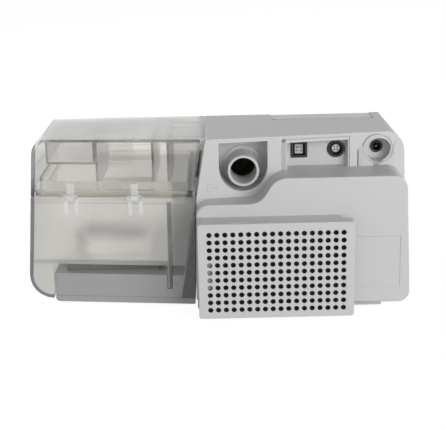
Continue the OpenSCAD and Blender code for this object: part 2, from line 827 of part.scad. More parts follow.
module blower_hose() {
    color(dark_color)
    intersection() {
        difference() {
            hose_path(spigot_r + 2, duct_end + 0.2, far);
            hose_path(spigot_r + run_gap, duct_end - 1, far + 1);
        }
        main_form(wall);
    }
}

// Return path of the moist air: an elbow from the joint to the outlet
module elbow_path(r, x1, y1) {
    rod_x(return_y, return_z, outlet_x, x1, r);
    rod_y(outlet_x, return_z, return_y, y1, r);
    translate([outlet_x, return_y, return_z]) sphere(r = r);
}
module outlet_elbow() {
    color([0.85, 0.85, 0.83])
    intersection() {
        difference() {
            elbow_path(elbow_r, far, recess_y - wall - 2.2);
            elbow_path(elbow_bore, far + 1, far);
        }
        main_form(0.3);
    }
}
module elbow_seal() {
    color(dark_color)
    difference() {
        rod_y(outlet_x, outlet_z, recess_y - wall - 2.2, recess_y - wall, outlet_base_r + 4);
        rod_y(outlet_x, outlet_z, recess_y - wall - 3, recess_y, outlet_base_r + 0.05);
    }
}
module outlet_tube() {
    color(shell_color)
    difference() {
        union() {
            translate([outlet_x, recess_y - wall - 2.2, outlet_z]) rotate([-90, 0, 0])
                cylinder(r = outlet_base_r, h = wall + 2.2);
            translate([outlet_x, recess_y, outlet_z]) rotate([-90, 0, 0])
                cylinder(r1 = outlet_base_r, r2 = outlet_r, h = outlet_foot);
            rod_y(outlet_x, outlet_z, recess_y, recess_y + outlet_l, outlet_r);
            rod_y(outlet_x, outlet_z, recess_y, recess_y + 1, outlet_base_r + 2.4);
        }
        rod_y(outlet_x, outlet_z, recess_y - 10, far, outlet_bore_r);
    }
}

// Sockets of the rear panel; each ends in front of the pocket's rear wall
module square_socket() {
    color(dark_color)
    difference() {
        box([square_x - square_s / 2, pocket_y - 9, socket_z - square_s / 2],
            [square_x + square_s / 2, pocket_y + socket_out, socket_z + square_s / 2]);
        box([square_x - square_s * 0.36, pocket_y - 5, socket_z - square_s * 0.36],
            [square_x + square_s * 0.36, far, socket_z + square_s * 0.36]);
    }
}
module round_socket() {
    color(dark_color)
    difference() {
        union() {
            rod_y(round_x, socket_z, pocket_y - 9, pocket_y + socket_out, round_d / 2);
            rod_y(round_x, socket_z, pocket_y - 9, pocket_y - wall - 0.1, round_d / 2 + 1.5);
        }
        rod_y(round_x, socket_z, pocket_y - 5, far, round_d * 0.38);
    }
}
pin_step = 2.8;
pin_hole = 0.55;
pins_w = 5.8;
pins_h = 6.8;
pins_y = [pocket_y - 5, pocket_y - 1.4];
module socket_pins() {
    color(base_color) {
        difference() {
            box([square_x - pins_w / 2, pins_y[0], socket_z - pins_h / 2],
                [square_x + pins_w / 2, pins_y[1], socket_z + pins_h / 2]);
            for (x = [-0.5, 0.5], z = [-0.5, 0.5])
                rod_y(square_x + x * pin_step, socket_z + z * pin_step, pins_y[0] + 1, far, pin_hole);
        }
        difference() {
            rod_y(round_x, socket_z, pins_y[0], pins_y[1], pins_w / 2);
            for (a = [45 : 90 : 315])
                rod_y(round_x + pin_step * 0.6 * cos(a), socket_z + pin_step * 0.6 * sin(a),
                    pins_y[0] + 1, far, pin_hole);
        }
    }
}
module dc_jack() {
    color(dark_color)
    difference() {
        union() {
            rod_y(bowl_x, bowl_z, bowl_y - 11, bowl_y + 1, jack_d / 2);
            rod_y(bowl_x, bowl_z, bowl_y - 11, bowl_y - wall - 0.1, jack_d / 2 + 2);
        }
        rod_y(bowl_x, bowl_z, bowl_y - 8, far, jack_d / 2 - 1.4);
    }
}
module dc_pin() {
    color(metal_color) rod_y(bowl_x, bowl_z, bowl_y - 8, bowl_y, 0.9);
}
module socket_board() {
    color(board_color)
    box([round_x - 14, pocket_y - 9 - board_t, seam_h + 6], [pocket_r - 2, pocket_y - 9, socket_z + 8]);
}

// Electronics in the lower housing and behind the control face
main_board_x = [joint_top - 42, joint_top - 6];
main_board_y = [front_y + 13, front_y + 79];
main_board_z = floor_z + 5;
module main_board() {
    color(board_color) {
        box([main_board_x[0], main_board_y[0], main_board_z],
            [main_board_x[1], main_board_y[1], main_board_z + board_t]);
        for (x = main_board_x + [4, -4], y = main_board_y + [4, -4])
            rod_z(x, y, floor_z, main_board_z, 2.5);
    }
}
module board_parts() {
    top = main_board_z + board_t;
    x = main_board_x[0];
    y = main_board_y[0];
    color([0.10, 0.10, 0.11]) {
        box([x + 14, y + 26, top], [x + 26, y + 38, top + 1.6]);
        box([x + 22, y + 10, top], [x + 30, y + 18, top + 2.6]);
        for (i = [0 : 2])
            rod_z(x + 8, y + 14 + 11 * i, top, top + 14, 4);
        box([x + 12, y + 50, top], [x + 30, y + 60, top + 8]);
        box([x + 28, y + 30, top], [x + 34, y + 44, top + 10]);
    }
}
board_l = cover_l - 7;
board_r = joint_top - 5;
switch_h = 3;
switch_push = 1;
// Centred block on the sloping face from z0 to z1
module pad(w, h, z0, z1) {
    translate([-w / 2, -h / 2, z0]) cube([w, h, z1 - z0]);
}
module control_board() {
    color(board_color)
    on_fascia(0, 0) {
        box([board_l, button_v - 3.8, board_top - board_t], [board_r, fascia_l - 5, board_top]);
        for (i = [-1 : 1])
            translate([window_x + i * button_step, button_v]) {
                pad(6, 6, board_top, board_top + switch_h);
                cylinder_at(1.6, board_top + switch_h, board_top + switch_h + switch_push);
            }
    }
}
module cylinder_at(r, z0, z1) {
    translate([0, 0, z0]) cylinder(r = r, h = z1 - z0);
}
module lcd_module() {
    color([0.75, 0.77, 0.76])
    on_fascia(window_x, window_v) pad(window_w + 4, window_h + 2, board_top, board_top + 5);
}
module display_cover() {
    color([0.82, 0.82, 0.82])
    difference() {
        intersection() {
            difference() {
                main_form(cover_sink);
                main_form(cover_sink + cover_t);
            }
            cover_zone(0);
        }
        on_fascia(window_x, window_v) pad(window_w + 0.4, window_h + 0.4, -10, 10);
        for (i = [-1 : 1])
            on_fascia(window_x + i * button_step, button_v)
                pad(button_w + 2 * part_gap, button_h + 2 * part_gap, -10, 10);
    }
}
module display_window() {
    color([0.05, 0.06, 0.08])
    on_fascia(window_x, window_v) {
        pad(window_w, window_h, -cover_sink - cover_t, -cover_sink + 0.2);
        pad(window_w + 3.2, window_h + 3.2, -cover_sink - cover_t - 1, -cover_sink - cover_t);
    }
}
flange_top = -cover_sink - cover_t - part_gap;
module button(i) {
    on_fascia(window_x + i * button_step, button_v) {
        pad(button_w, button_h, flange_top - 0.1, button_push + 0.2);
        pad(button_w + 2.4, button_h + 2.4, flange_top - 1.4, flange_top);
    }
}
module ramp_button() {
    color(base_color) button(-1);
}
module home_button() {
    color(base_color) button(0);
}
module mute_button() {
    color(base_color) button(1);
}

// Push-and-turn encoder with its knob
bush_r = 3.6;
rotor_r = 5;
rotor_low = -7.6;
shaft_low = -7.3;
module encoder_body() {
    color([0.35, 0.35, 0.36])
    on_fascia(knob_x, knob_v)
    difference() {
        union() {
            pad(13, 13, board_top, -wall - 0.2);
            rod_z(0, 0, -wall - 0.2, 0.3, bush_r);
        }
        rod_z(0, 0, rotor_low - 1.2, -3.4, rotor_r + 0.3);
        rod_z(0, 0, -4, 2, shaft_r + run_gap);
    }
}
module encoder_rotor() {
    color([0.75, 0.75, 0.72])
    on_fascia(knob_x, knob_v)
    difference() {
        rod_z(0, 0, -6, -3.7, rotor_r);
        rod_z(0, 0, -7, -3, shaft_r + run_gap);
    }
}
module knob_shaft() {
    color(metal_color) on_fascia(knob_x, knob_v) rod_z(0, 0, shaft_low, knob_h - 2.6, shaft_r);
}
module control_knob() {
    color([0.55, 0.55, 0.56])
    on_fascia(knob_x, knob_v)
    difference() {
        union() {
            translate([0, 0, knob_push + 0.6]) cylinder(r = knob_d / 2, h = knob_h - knob_push - 2.2);
            translate([0, 0, knob_h - 1.6]) cylinder(r1 = knob_d / 2, r2 = knob_d / 2 - 1.6, h = 1.6);
        }
        difference() {
            rod_z(0, 0, 0, knob_h - 2.2, knob_d / 2 - 2);
            rod_z(0, 0, knob_push + 0.6, knob_h, 5);
        }
        rod_z(0, 0, 0, knob_h - 2.6, shaft_r);
        translate([0, knob_d / 2 - 4.4, knob_h + 2.6]) sphere(r = 4);
    }
}

// Humidifier base: a block under the chamber and a wedge-shaped wall that docks to the main unit
base_low = 6;
base_in = 1.5;
dock_top = seam_h - dock_drop;
dock_hollow = seam_h - 42;
function dock_line(z, d) = low_joint(z) + dock_gap + d;
base_front = [[dock_line(base_low, 0), base_low], [base_r, base_low],
    [base_r, base_h], [dock_line(base_h, 0), base_h]];
base_front_r = [0, 3, 1.5, 0];
module base_form(front, front_r, low, d) {
    intersection() {
        slab_y(rounded(front, front_r, d), -far, far);
        slab_x(rounded(side_view(low - base_in), side_r, base_in + d), -far, far);
        slab_z(rounded(hum_plan, hum_plan_r, base_in + d), -far, far);
    }
}
// Wedge between the main unit and the chamber, moved inwards by d at both sides
module dock_wedge(d, z0, z1) {
    slab_y([[dock_line(z0, d), z0], [chamber_line(z0, -chamber_gap - d), z0],
        [chamber_line(z1, -chamber_gap - d), z1], [dock_line(z1, d), z1]], -far, far);
}
// Leaning sheet parallel to the chamber's side, from d0 to d1 beyond it
module chamber_sheet(d0, d1, z0, z1) {
    slab_y([[chamber_line(z0, d0), z0], [chamber_line(z0, d1), z0],
        [chamber_line(z1, d1), z1], [chamber_line(z1, d0), z1]], -far, far);
}
plate_l = main_r + 29;
plate_r = base_r - 12;
plate_front = front_y + 35;
plate_back = panel_y - 25.1;
rail_x = main_r + 19;
rail_w = 3;
rail_low = 13;
contact_y = -40;
contact_z = 14.5;
release_x = (main_r + base_r) / 2;
release_z = 16;
release_w = 22;
release_h = 6;
release_rim = 1.1;
release_push = 2;
release_rise = (release_z - base_low + base_in) / (fascia_low - base_low + base_in);
release_y = front_y + front_tuck * (1 - release_rise) + base_in;
seal_r = port_d / 2 + 3;
module plate_zone(d, z0, z1) {
    box([plate_l - d, plate_front - d, z0], [plate_r + d, plate_back + d, z1]);
}
module port_ring(r, d0, d1) {
    intersection() {
        rod_x(blow_y, port_z, 0, main_r + 30, r);
        chamber_sheet(d0, d1, base_low, dock_top + 10);
    }
}
module dock_zone(d) {
    base_form([[0, 0], [far, 0], [far, far], [0, far]], [0, 0, 0, 0], base_low, d);
}
module humidifier_base() {
    color(base_color)
    difference() {
        union() {
            difference() {
                union() {
                    base_form(base_front, base_front_r, base_low, 0);
                    intersection() {
                        dock_wedge(0, base_low, dock_top);
                        dock_zone(-1);
                    }
                }
                base_form(base_front, base_front_r, base_low, wall);
                intersection() {
                    dock_wedge(wall, base_low + wall, dock_hollow);
                    dock_zone(wall);
                }
                box([main_r + 17, front_y + 20, 0], [base_r - 9, 26, base_low + 2 * wall]);
            }
            intersection() {
                box([rail_x - rail_w / 2 - 2, -far, rail_low - 2],
                    [rail_x + rail_w / 2 + 2, far, base_h - 1]);
                base_form(base_front, base_front_r, base_low, 1);
            }
        }
        box([rail_x - rail_w / 2 - part_gap, -far, rail_low],
            [rail_x + rail_w / 2 + part_gap, far, base_h + 1]);
        plate_zone(2.2, base_h - 2 * wall, base_h + 1);
        air_port(blow_y, port_z, 0, main_r + 20);
        port_ring(seal_r + 0.1, -chamber_gap - 1.2, -chamber_gap + 1);
        box([0, contact_y - 9.2, contact_z - 4.2], [main_r + 6, contact_y + 9.2, contact_z + 4.2]);
        box([release_x - release_w / 2 - part_gap, -far, release_z - release_h / 2 - part_gap],
            [release_x + release_w / 2 + part_gap, front_y + 20, release_z + release_h / 2 + part_gap]);
    }
}
module humidifier_bottom() {
    color([0.50, 0.50, 0.51])
    difference() {
        intersection() {
            base_form([[dock_line(base_low, 0), hum_low], [base_r, hum_low], [base_r, base_low + 1],
                [dock_line(base_low, 0), base_low + 1]], [1, 3, 0, 0], hum_low, 0.3);
            below(base_low);
        }
        for (p = hum_foot_places)
            rod_z(p[0], p[1], foot_t - 1, foot_t + 1.6, foot_r - 0.9);
    }
}
hum_low = 0.9;
hum_foot_places = [[main_r + 19, front_y + 23], [base_r - 12, front_y + 23],
    [main_r + 19, panel_y - 21.6], [base_r - 12, panel_y - 31.6]];
module humidifier_feet() {
    color(dark_color)
    for (p = hum_foot_places)
        rod_z(p[0], p[1], 0, foot_t + 1.6, foot_r - 1);
}
module heater_plate() {
    color(metal_color) plate_zone(0, heater_h - 4, heater_h);
}
module heater_pad() {
    color([0.80, 0.45, 0.12]) plate_zone(-5, heater_h - 4.8, heater_h - 4);
}
module heater_seal() {
    color(dark_color)
    difference() {
        union() {
            plate_zone(2, base_h - wall, heater_h - 0.6);
            plate_zone(5, base_h - wall - 1.6, base_h - wall);
        }
        plate_zone(0.1, heater_h - 4, heater_h);
        plate_zone(-3, 0, heater_h);
    }
}
module contact_block() {
    color(dark_color)
        box([dock_line(contact_z - 4, 0.2), contact_y - 9, contact_z - 4],
            [main_r + 8, contact_y + 9, contact_z + 4]);
}
module release_button() {
    color([0.45, 0.45, 0.46]) {
        box([release_x - release_w / 2, release_y - release_push - 0.6, release_z - release_h / 2],
            [release_x + release_w / 2, release_y + wall + 1, release_z + release_h / 2]);
        box([release_x - release_w / 2 - 2, release_y + wall + 0.8, release_z - release_h / 2 - release_rim],
            [release_x + release_w / 2 + 2, release_y + wall + 2.4, release_z + release_h / 2 + release_rim]);
    }
}
module port_seal() {
    color(dark_color) difference() {
        port_ring(seal_r, -chamber_gap - 1.2, -0.2);
        rod_x(blow_y, port_z, 0, far, port_d / 2);
    }
}

// Water chamber: a clear tank with a skirt around the block's outer end
room_low = heater_h + floor_t;
bar_z = [room_low - 1, seam_h - 8];
bar_in = [10.8, 13.9];
bar_t = 2.2;
bar_front = -24;
rim_w = 7;
rim_t = 4;
module on_hinge(x) {
    translate([x, chamber_at(x), seam_h + seam_gap / 2]) rotate([0, 0, -chamber_turn]) children();
}
hinge_out = 2.8;
knuckle_r = 2.5;
knuckle_w = 5;
ear_w = 2.4;
hinge_pin_r = 1.2;
hinge_xs = [hum_r - 36.4, hum_r - 83.2];
module hinge_bores(r) {
    for (x = hinge_xs)
        on_hinge(x) rod_x(hinge_out, 0, -12, 12, r);
}
function bar_outline(start) = [[chamber_line(bar_z[0], start[0]), bar_z[0]],
    [chamber_line(bar_z[0], bar_in[0] + bar_t), bar_z[0]],
    [chamber_line(bar_z[1], bar_in[1] + bar_t), bar_z[1]],
    [chamber_line(bar_z[1], start[1]), bar_z[1]]];
module water_tank() {
    color(clear_color)
    difference() {
        union() {
            difference() {
                intersection() { tank_form(); below(seam_h); }
                intersection() { tank_form(clear_wall); above(room_low); }
                box([0, -far, -1], [base_r + 0.6, far, heater_h + 0.2]);
                intersection() { tank_form(3); box([base_r, -far, 0], [far, far, heater_h]); }
            }
            // rim that carries the seal
            intersection() {
                difference() { tank_form(0.5); tank_form(rim_w); }
                box([0, -far, seam_h - rim_t], [far, far, seam_h]);
            }
            // walls between the air channel and the water
            intersection() {
                tank_form(0.5);
                union() {
                    slab_y(bar_outline(bar_in), bar_front, far);
                    slab_y(bar_outline([0, 0]), bar_front, bar_front + bar_t);
                }
            }
            // apron in front of the heater
            intersection() {
                difference() { tank_form(); tank_form(3); }
                box([0, -far, base_h + 0.5], [base_r + 1, plate_front - 10, heater_h + 1]);
            }
            // rail under the floor
            intersection() {
                tank_form(1);
                box([rail_x - rail_w / 2, -far, rail_low + 0.5], [rail_x + rail_w / 2, far, heater_h + 1]);
            }
            for (x = hinge_xs, side = [-1, 1])
                on_hinge(x) {
                    start = side * (knuckle_w / 2 + part_gap + ear_w / 2) - ear_w / 2;
                    rod_x(hinge_out, 0, start, start + ear_w, knuckle_r);
                    box([start, -0.6, -12.5], [start + ear_w, hinge_out, 0]);
                }
        }
        hinge_bores(hinge_pin_r);
        plate_zone(-4, 0, room_low + 1);
        plate_zone(0.1, 0, heater_h + 1.5);
        air_port(blow_y, port_z, 0, chamber_line(port_z, 5));
    }
}
module tank_plate() {
    color([0.80, 0.81, 0.82]) {
        plate_zone(0, heater_h, heater_h + 1.5);
        plate_zone(-4.1, heater_h + 1.5, room_low);
    }
}
module hinge_pins() {
    color(metal_color)
    for (x = hinge_xs)
        on_hinge(x) {
            half = knuckle_w / 2 + part_gap + ear_w;
            rod_x(hinge_out, 0, -half, half, hinge_pin_r);
        }
}

// Lid of the water chamber
lid_low = seam_h + seam_gap;
seal_top = seam_h + 3;
module lid_seal() {
    color([0.55, 0.42, 0.30])
    intersection() {
        difference() { tank_form(3.4); tank_form(rim_w - 0.6); }
        box([0, -far, seam_h], [far, far, seal_top]);
    }
}
latch_x = (joint_x(seam_h) + hum_r) / 2 + 4;
latch_w = 26;
latch_t = 3;
latch_l = 20;
latch_v = 1.5;
latch_pin_v = latch_v + latch_l - 3;
latch_off = 0.3;
module lid_latch() {
    mid = latch_off + latch_t / 2;
    color(clear_color) {
        on_fascia(latch_x, 0) {
            difference() {
                box([-latch_w / 2, latch_v, latch_off], [latch_w / 2, latch_pin_v, latch_off + latch_t]);
                box([-latch_w / 2 + 4, latch_v + 2, latch_off + latch_t - 0.8],
                    [latch_w / 2 - 4, latch_v + 6, latch_off + latch_t + 1]);
            }
            rod_x(latch_pin_v, mid, -latch_w / 2, latch_w / 2, latch_t / 2);
            rod_x(latch_pin_v, mid, -latch_w / 2 - 2.2, latch_w / 2 + 2.2, 0.8);
        }
        // leg that reaches over the seam
        translate([latch_x, front_y - latch_off, 0])
            box([0.6 - latch_w / 2, -latch_t, seam_h - 9],
                [latch_w / 2 - 0.6, 0, fascia_low + latch_v + 2.7]);
    }
}
module tank_lid() {
    color(clear_color)
    difference() {
        union() {
            intersection() {
                difference() { lid_form(); lid_form(clear_wall); }
                above(lid_low);
            }
            intersection() {
                difference() { lid_form(0.5); tank_form(rim_w); }
                box([0, -far, seal_top], [far, far, seal_top + 2]);
            }
            for (x = hinge_xs)
                on_hinge(x) {
                    rod_x(hinge_out, 0, -knuckle_w / 2, knuckle_w / 2, knuckle_r);
                    box([-knuckle_w / 2, -0.6, seam_gap], [knuckle_w / 2, hinge_out, 11]);
                }
            for (side = [-1, 1])
                on_fascia(latch_x, 0)
                    translate([side * (latch_w / 2 + part_gap + 1.2), latch_pin_v, 0])
                        box([-1.2, -2.5, -0.5], [1.2, 2.5, latch_off + latch_t]);
        }
        hinge_bores(hinge_pin_r + run_gap);
        on_fascia(latch_x, 0) rod_x(latch_pin_v, latch_off + latch_t / 2, -latch_w, latch_w, 0.8 + run_gap);
        air_port(return_y, return_z, 0, chamber_line(return_z, 7.5), elbow_bore);
        return_ring(elbow_bore + 2.6, -1, 1);
    }
}
// Ring in the lid's wall beside the return port
module return_ring(r, d0, d1) {
    intersection() {
        rod_x(return_y, return_z, 0, main_r + 10, r);
        chamber_sheet(d0, d1, seam_h, body_h);
    }
}
module return_seal() {
    color(dark_color) difference() {
        return_ring(elbow_bore + 2.5, -0.2, 1);
        rod_x(return_y, return_z, 0, far, elbow_bore);
    }
}
// Clear insert inside the lid that leads the air over the water
duct_in = 19.4;
duct_w = 36;
duct_h = 19;
duct_r = hum_r - duct_in;
duct_l = duct_r - duct_w;
duct_low = body_h - duct_h;
insert_t = 1.6;
insert_l = joint_top + 38;
insert_r = hum_r - 14;
insert_front = front_y + 41;
insert_back = panel_y - 13.6;
module lid_baffle() {
    color(clear_color)
    intersection() {
        lid_form(clear_wall);
        above(seal_top + 2);
        union() {
            difference() {
                box([duct_l, insert_front, duct_low], [duct_r, far, far]);
                box([duct_l + insert_t, insert_front + insert_t, duct_low + insert_t],
                    [duct_r - insert_t, insert_back, far]);
            }
            for (x = [duct_l - insert_t, insert_l - 1, insert_l - 12])
                box([x, insert_front, seal_top], [x + insert_t, far, far]);
            difference() {
                box([insert_l, insert_front, seal_top], [insert_r, far, seal_top + 11]);
                box([insert_l + insert_t, insert_front + insert_t, 0],
                    [insert_r - insert_t, insert_back, far]);
            }
        }
    }
}

lower_housing();
upper_housing();
bottom_cover();
main_feet();
housing_screws();
filter_cap();
coarse_filter();
fine_filter();
filter_frame();
muffler_case();
muffler_foam();
inlet_gasket();
volute_lower();
volute_upper();
motor();
impeller();
motor_shaft();
blower_mounts();
blower_hose();
outlet_elbow();
outlet_tube();
elbow_seal();
square_socket();
round_socket();
socket_pins();
dc_jack();
dc_pin();
socket_board();
main_board();
board_parts();
control_board();
display_cover();
display_window();
lcd_module();
encoder_body();
encoder_rotor();
knob_shaft();
control_knob();
ramp_button();
mute_button();
home_button();
card_door();
card_slot();
humidifier_base();
humidifier_bottom();
humidifier_feet();
heater_plate();
heater_pad();
heater_seal();
contact_block();
release_button();
water_tank();
tank_plate();
port_seal();
return_seal();
hinge_pins();
lid_seal();
tank_lid();
lid_baffle();
lid_latch();
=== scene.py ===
import json
import math

import bmesh
import bpy
from mathutils import Matrix, Vector
from mathutils.bvhtree import BVHTree

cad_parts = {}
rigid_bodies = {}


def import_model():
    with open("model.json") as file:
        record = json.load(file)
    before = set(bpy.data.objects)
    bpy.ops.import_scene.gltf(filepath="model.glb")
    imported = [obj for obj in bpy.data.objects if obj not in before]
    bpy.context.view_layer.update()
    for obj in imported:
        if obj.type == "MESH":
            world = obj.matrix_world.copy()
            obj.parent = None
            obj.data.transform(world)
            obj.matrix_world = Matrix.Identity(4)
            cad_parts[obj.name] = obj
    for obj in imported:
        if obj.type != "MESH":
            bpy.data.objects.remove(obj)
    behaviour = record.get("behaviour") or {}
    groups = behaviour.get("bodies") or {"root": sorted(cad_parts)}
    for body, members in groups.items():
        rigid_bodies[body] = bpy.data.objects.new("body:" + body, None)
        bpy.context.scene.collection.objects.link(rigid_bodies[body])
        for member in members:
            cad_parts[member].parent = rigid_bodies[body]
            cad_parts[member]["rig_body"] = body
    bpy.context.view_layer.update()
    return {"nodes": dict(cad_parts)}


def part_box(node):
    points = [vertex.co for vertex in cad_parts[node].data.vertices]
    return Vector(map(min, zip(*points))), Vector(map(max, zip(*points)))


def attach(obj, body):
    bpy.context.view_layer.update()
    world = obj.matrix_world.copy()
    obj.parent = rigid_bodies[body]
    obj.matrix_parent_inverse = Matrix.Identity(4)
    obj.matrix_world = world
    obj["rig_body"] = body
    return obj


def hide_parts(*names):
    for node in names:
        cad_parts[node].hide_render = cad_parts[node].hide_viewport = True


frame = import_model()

# Camera. The photograph looks down a little at the rear of the machine, almost square to it.
# The hole grid of the filter cap gave its place, its turn and its lens.
camera_place = (0.00051, 0.79972, 0.27700)
camera_turn, camera_fall, camera_roll = 179.629, 15.58, -1.239
camera_data = bpy.data.cameras.new("photo_camera")
camera_data.lens = 87.05
camera_data.sensor_width = 36
camera = bpy.data.objects.new("photo_camera", camera_data)
bpy.context.scene.collection.objects.link(camera)
camera.matrix_world = (
    Matrix.Translation(camera_place)
    @ Matrix.Rotation(math.radians(camera_turn), 4, "Z")
    @ Matrix.Rotation(math.radians(90 - camera_fall), 4, "X")
    @ Matrix.Rotation(math.radians(camera_roll), 4, "Z")
)
bpy.context.scene.camera = camera
bpy.context.scene.view_settings.view_transform = "Standard"

# The two housings of the main unit. Each is an injection-moulded shell of light grey ABS with a fine
# spark-eroded skin; the upper one is screwed to the lower one from below, and the rear bulge is part
# of the lower one.
MM = 0.001


def add_node(tree, kind, inputs=None, **settings):
    """A node with its settings, whose inputs are values or other nodes' sockets."""
    made = tree.nodes.new(kind)
    for name, value in settings.items():
        setattr(made, name, value)
    for name, value in (inputs or {}).items():
        if isinstance(value, bpy.types.NodeSocket):
            tree.links.new(value, made.inputs[name])
        else:
            made.inputs[name].default_value = value
    return made


def math_node(tree, kind, *values):
    """The result of one calculation on values or other nodes' sockets."""
    return add_node(tree, "ShaderNodeMath", dict(enumerate(values)), operation=kind).outputs[0]


def new_group(name, kind, inputs, outputs):
    """A node group with its sockets, and the nodes that hold them."""
    tree = bpy.data.node_groups.new(name, kind)
    for socket, (socket_type, default) in inputs.items():
        made = tree.interface.new_socket(socket, in_out="INPUT", socket_type=socket_type)
        if default is not None:
            made.default_value = default
    for socket, socket_type in outputs.items():
        tree.interface.new_socket(socket, in_out="OUTPUT", socket_type=socket_type)
    return tree, tree.nodes.new("NodeGroupInput"), tree.nodes.new("NodeGroupOutput")


def make_moulded_skin():
    """Skin of a moulded part: a spark-eroded grain, and a faint cloudiness of colour and gloss."""
    tree, given, result = new_group(
        "moulded_skin", "ShaderNodeTree",
        {"Color": ("NodeSocketColor", None), "Roughness": ("NodeSocketFloat", 0.5),
         "Grain size": ("NodeSocketFloat", 0.5), "Cloudiness": ("NodeSocketFloat", 0.03)},
        {"Color": "NodeSocketColor", "Roughness": "NodeSocketFloat", "Height": "NodeSocketFloat"})
    place = add_node(tree, "ShaderNodeTexCoord").outputs["Object"]
    grains_per_metre = math_node(tree, "DIVIDE", 1.0 / MM, given.outputs["Grain size"])
    grain = add_node(tree, "ShaderNodeTexNoise",
                     {"Vector": place, "Scale": grains_per_metre, "Detail": 2.0})
    clouds = add_node(tree, "ShaderNodeTexNoise", {"Vector": place, "Scale": 22.0, "Detail": 3.0})
    drift = math_node(tree, "SUBTRACT", clouds.outputs["Fac"], 0.5)
    swing = math_node(tree, "MULTIPLY", drift, given.outputs["Cloudiness"])
    factor = math_node(tree, "ADD", swing, 1.0)
    clouded = add_node(tree, "ShaderNodeVectorMath",
                       {0: given.outputs["Color"], 1: factor}, operation="MULTIPLY")
    rough = math_node(tree, "MULTIPLY_ADD", swing, 2.0, given.outputs["Roughness"])
    tree.links.new(clouded.outputs[0], result.inputs["Color"])
    tree.links.new(rough, result.inputs["Roughness"])
    tree.links.new(grain.outputs["Fac"], result.inputs["Height"])
    return tree


moulded_skin = make_moulded_skin()


def start_material(name, **values):
    """A new material, its tree and its one Principled shader, with the shader's plain inputs set."""
    material = bpy.data.materials.new(name)
    material.use_nodes = True
    tree = material.node_tree
    shader = tree.nodes["Principled BSDF"]
    for socket, value in values.items():
        shader.inputs[socket.replace("_", " ")].default_value = value
    return material, tree, shader


def moulded_plastic(name, color, roughness=0.5, grain=0.5, depth=0.02, cloudiness=0.03, **values):
    """Moulded plastic in one colour; grain and depth are the skin's grain size and height in mm."""
    material, tree, shader = start_material(name, **values)
    skin = add_node(tree, "ShaderNodeGroup", node_tree=moulded_skin)
    skin.inputs["Color"].default_value = (*color, 1)
    skin.inputs["Roughness"].default_value = roughness
    skin.inputs["Grain size"].default_value = grain
    skin.inputs["Cloudiness"].default_value = cloudiness
    bump = add_node(tree, "ShaderNodeBump", {"Height": skin.outputs["Height"], "Distance": depth * MM})
    tree.links.new(skin.outputs["Color"], shader.inputs["Base Color"])
    tree.links.new(skin.outputs["Roughness"], shader.inputs["Roughness"])
    tree.links.new(bump.outputs["Normal"], shader.inputs["Normal"])
    return material


def clean_body(node):
    """The CAD node's loose triangles as one closed body of whole flat faces, none of them concave."""
    body = bmesh.new()
    body.from_mesh(frame["nodes"][node].data)
    for face in body.faces:
        face.material_index = 0
    bmesh.ops.remove_doubles(body, verts=body.verts, dist=0.002 * MM)
    bmesh.ops.dissolve_limit(body, angle_limit=math.radians(0.1), verts=body.verts, edges=body.edges)
    bmesh.ops.dissolve_degenerate(body, dist=0.02 * MM, edges=body.edges)
    bmesh.ops.connect_verts_concave(body, faces=[f for f in body.faces if len(f.verts) > 4])
    return body


def from_body(body, name, *materials):
    """A piece at the origin with the body's mesh, shaded smooth; the body is used up."""
    mesh = bpy.data.meshes.new(name + "_shape")
    body.normal_update()
    body.to_mesh(mesh)
    body.free()
    if "custom_normal" in mesh.attributes:
        mesh.attributes.remove(mesh.attributes["custom_normal"])
    for material in materials:
        mesh.materials.append(material)
    mesh.shade_smooth()
    piece = bpy.data.objects.new(name, mesh)
    bpy.context.scene.collection.objects.link(piece)
    return piece


def finished(piece):
    """The piece's mesh with its modifiers worked in, and none left on it."""
    evaluated = piece.evaluated_get(bpy.context.evaluated_depsgraph_get())
    mesh = bpy.data.meshes.new_from_object(evaluated)
    piece.modifiers.clear()
    piece.data = mesh
    return piece


def bevelled(piece, width, steps):
    """Rounds every edge of the piece that turns by more than 30 degrees; width in mm."""
    rounding = piece.modifiers.new("rounding", "BEVEL")
    rounding.width = width * MM
    rounding.segments = steps
    rounding.limit_method = "ANGLE"
    rounding.angle_limit = math.radians(30)
    rounding.use_clamp_overlap = False
    finished(piece)


def weighted(piece):
    """Shading that keeps flat faces flat and runs smoothly over small radii."""
    piece.data.shade_smooth()
    piece.data.set_sharp_from_angle(angle=math.radians(50))
    shading = piece.modifiers.new("shading", "WEIGHTED_NORMAL")
    shading.keep_sharp = True
    return finished(piece)


def joined(name, *parts):
    """Several objects as one; each keeps its materials."""
    body = bmesh.new()
    materials = []
    for part in parts:
        known = len(body.faces)
        body.from_mesh(part.data)
        body.faces.ensure_lookup_table()
        for face in body.faces[known:]:
            material = part.data.materials[face.material_index]
            if material not in materials:
                materials.append(material)
            face.material_index = materials.index(material)
        bpy.data.objects.remove(part)
    return from_body(body, name, *materials)


def place(piece, node, slot):
    """The piece rides on its node's body and stands for the node, whose CAD part is hidden; the slot is not
    used.
    """
    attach(piece, frame["nodes"][node]["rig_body"])
    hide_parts(node)


def triangles(mesh):
    """The middles and the areas of the mesh's triangles."""
    mesh.calc_loop_triangles()
    middles = [sum((mesh.vertices[i].co for i in t.vertices), Vector()) / 3 for t in mesh.loop_triangles]
    return middles, [t.area for t in mesh.loop_triangles]


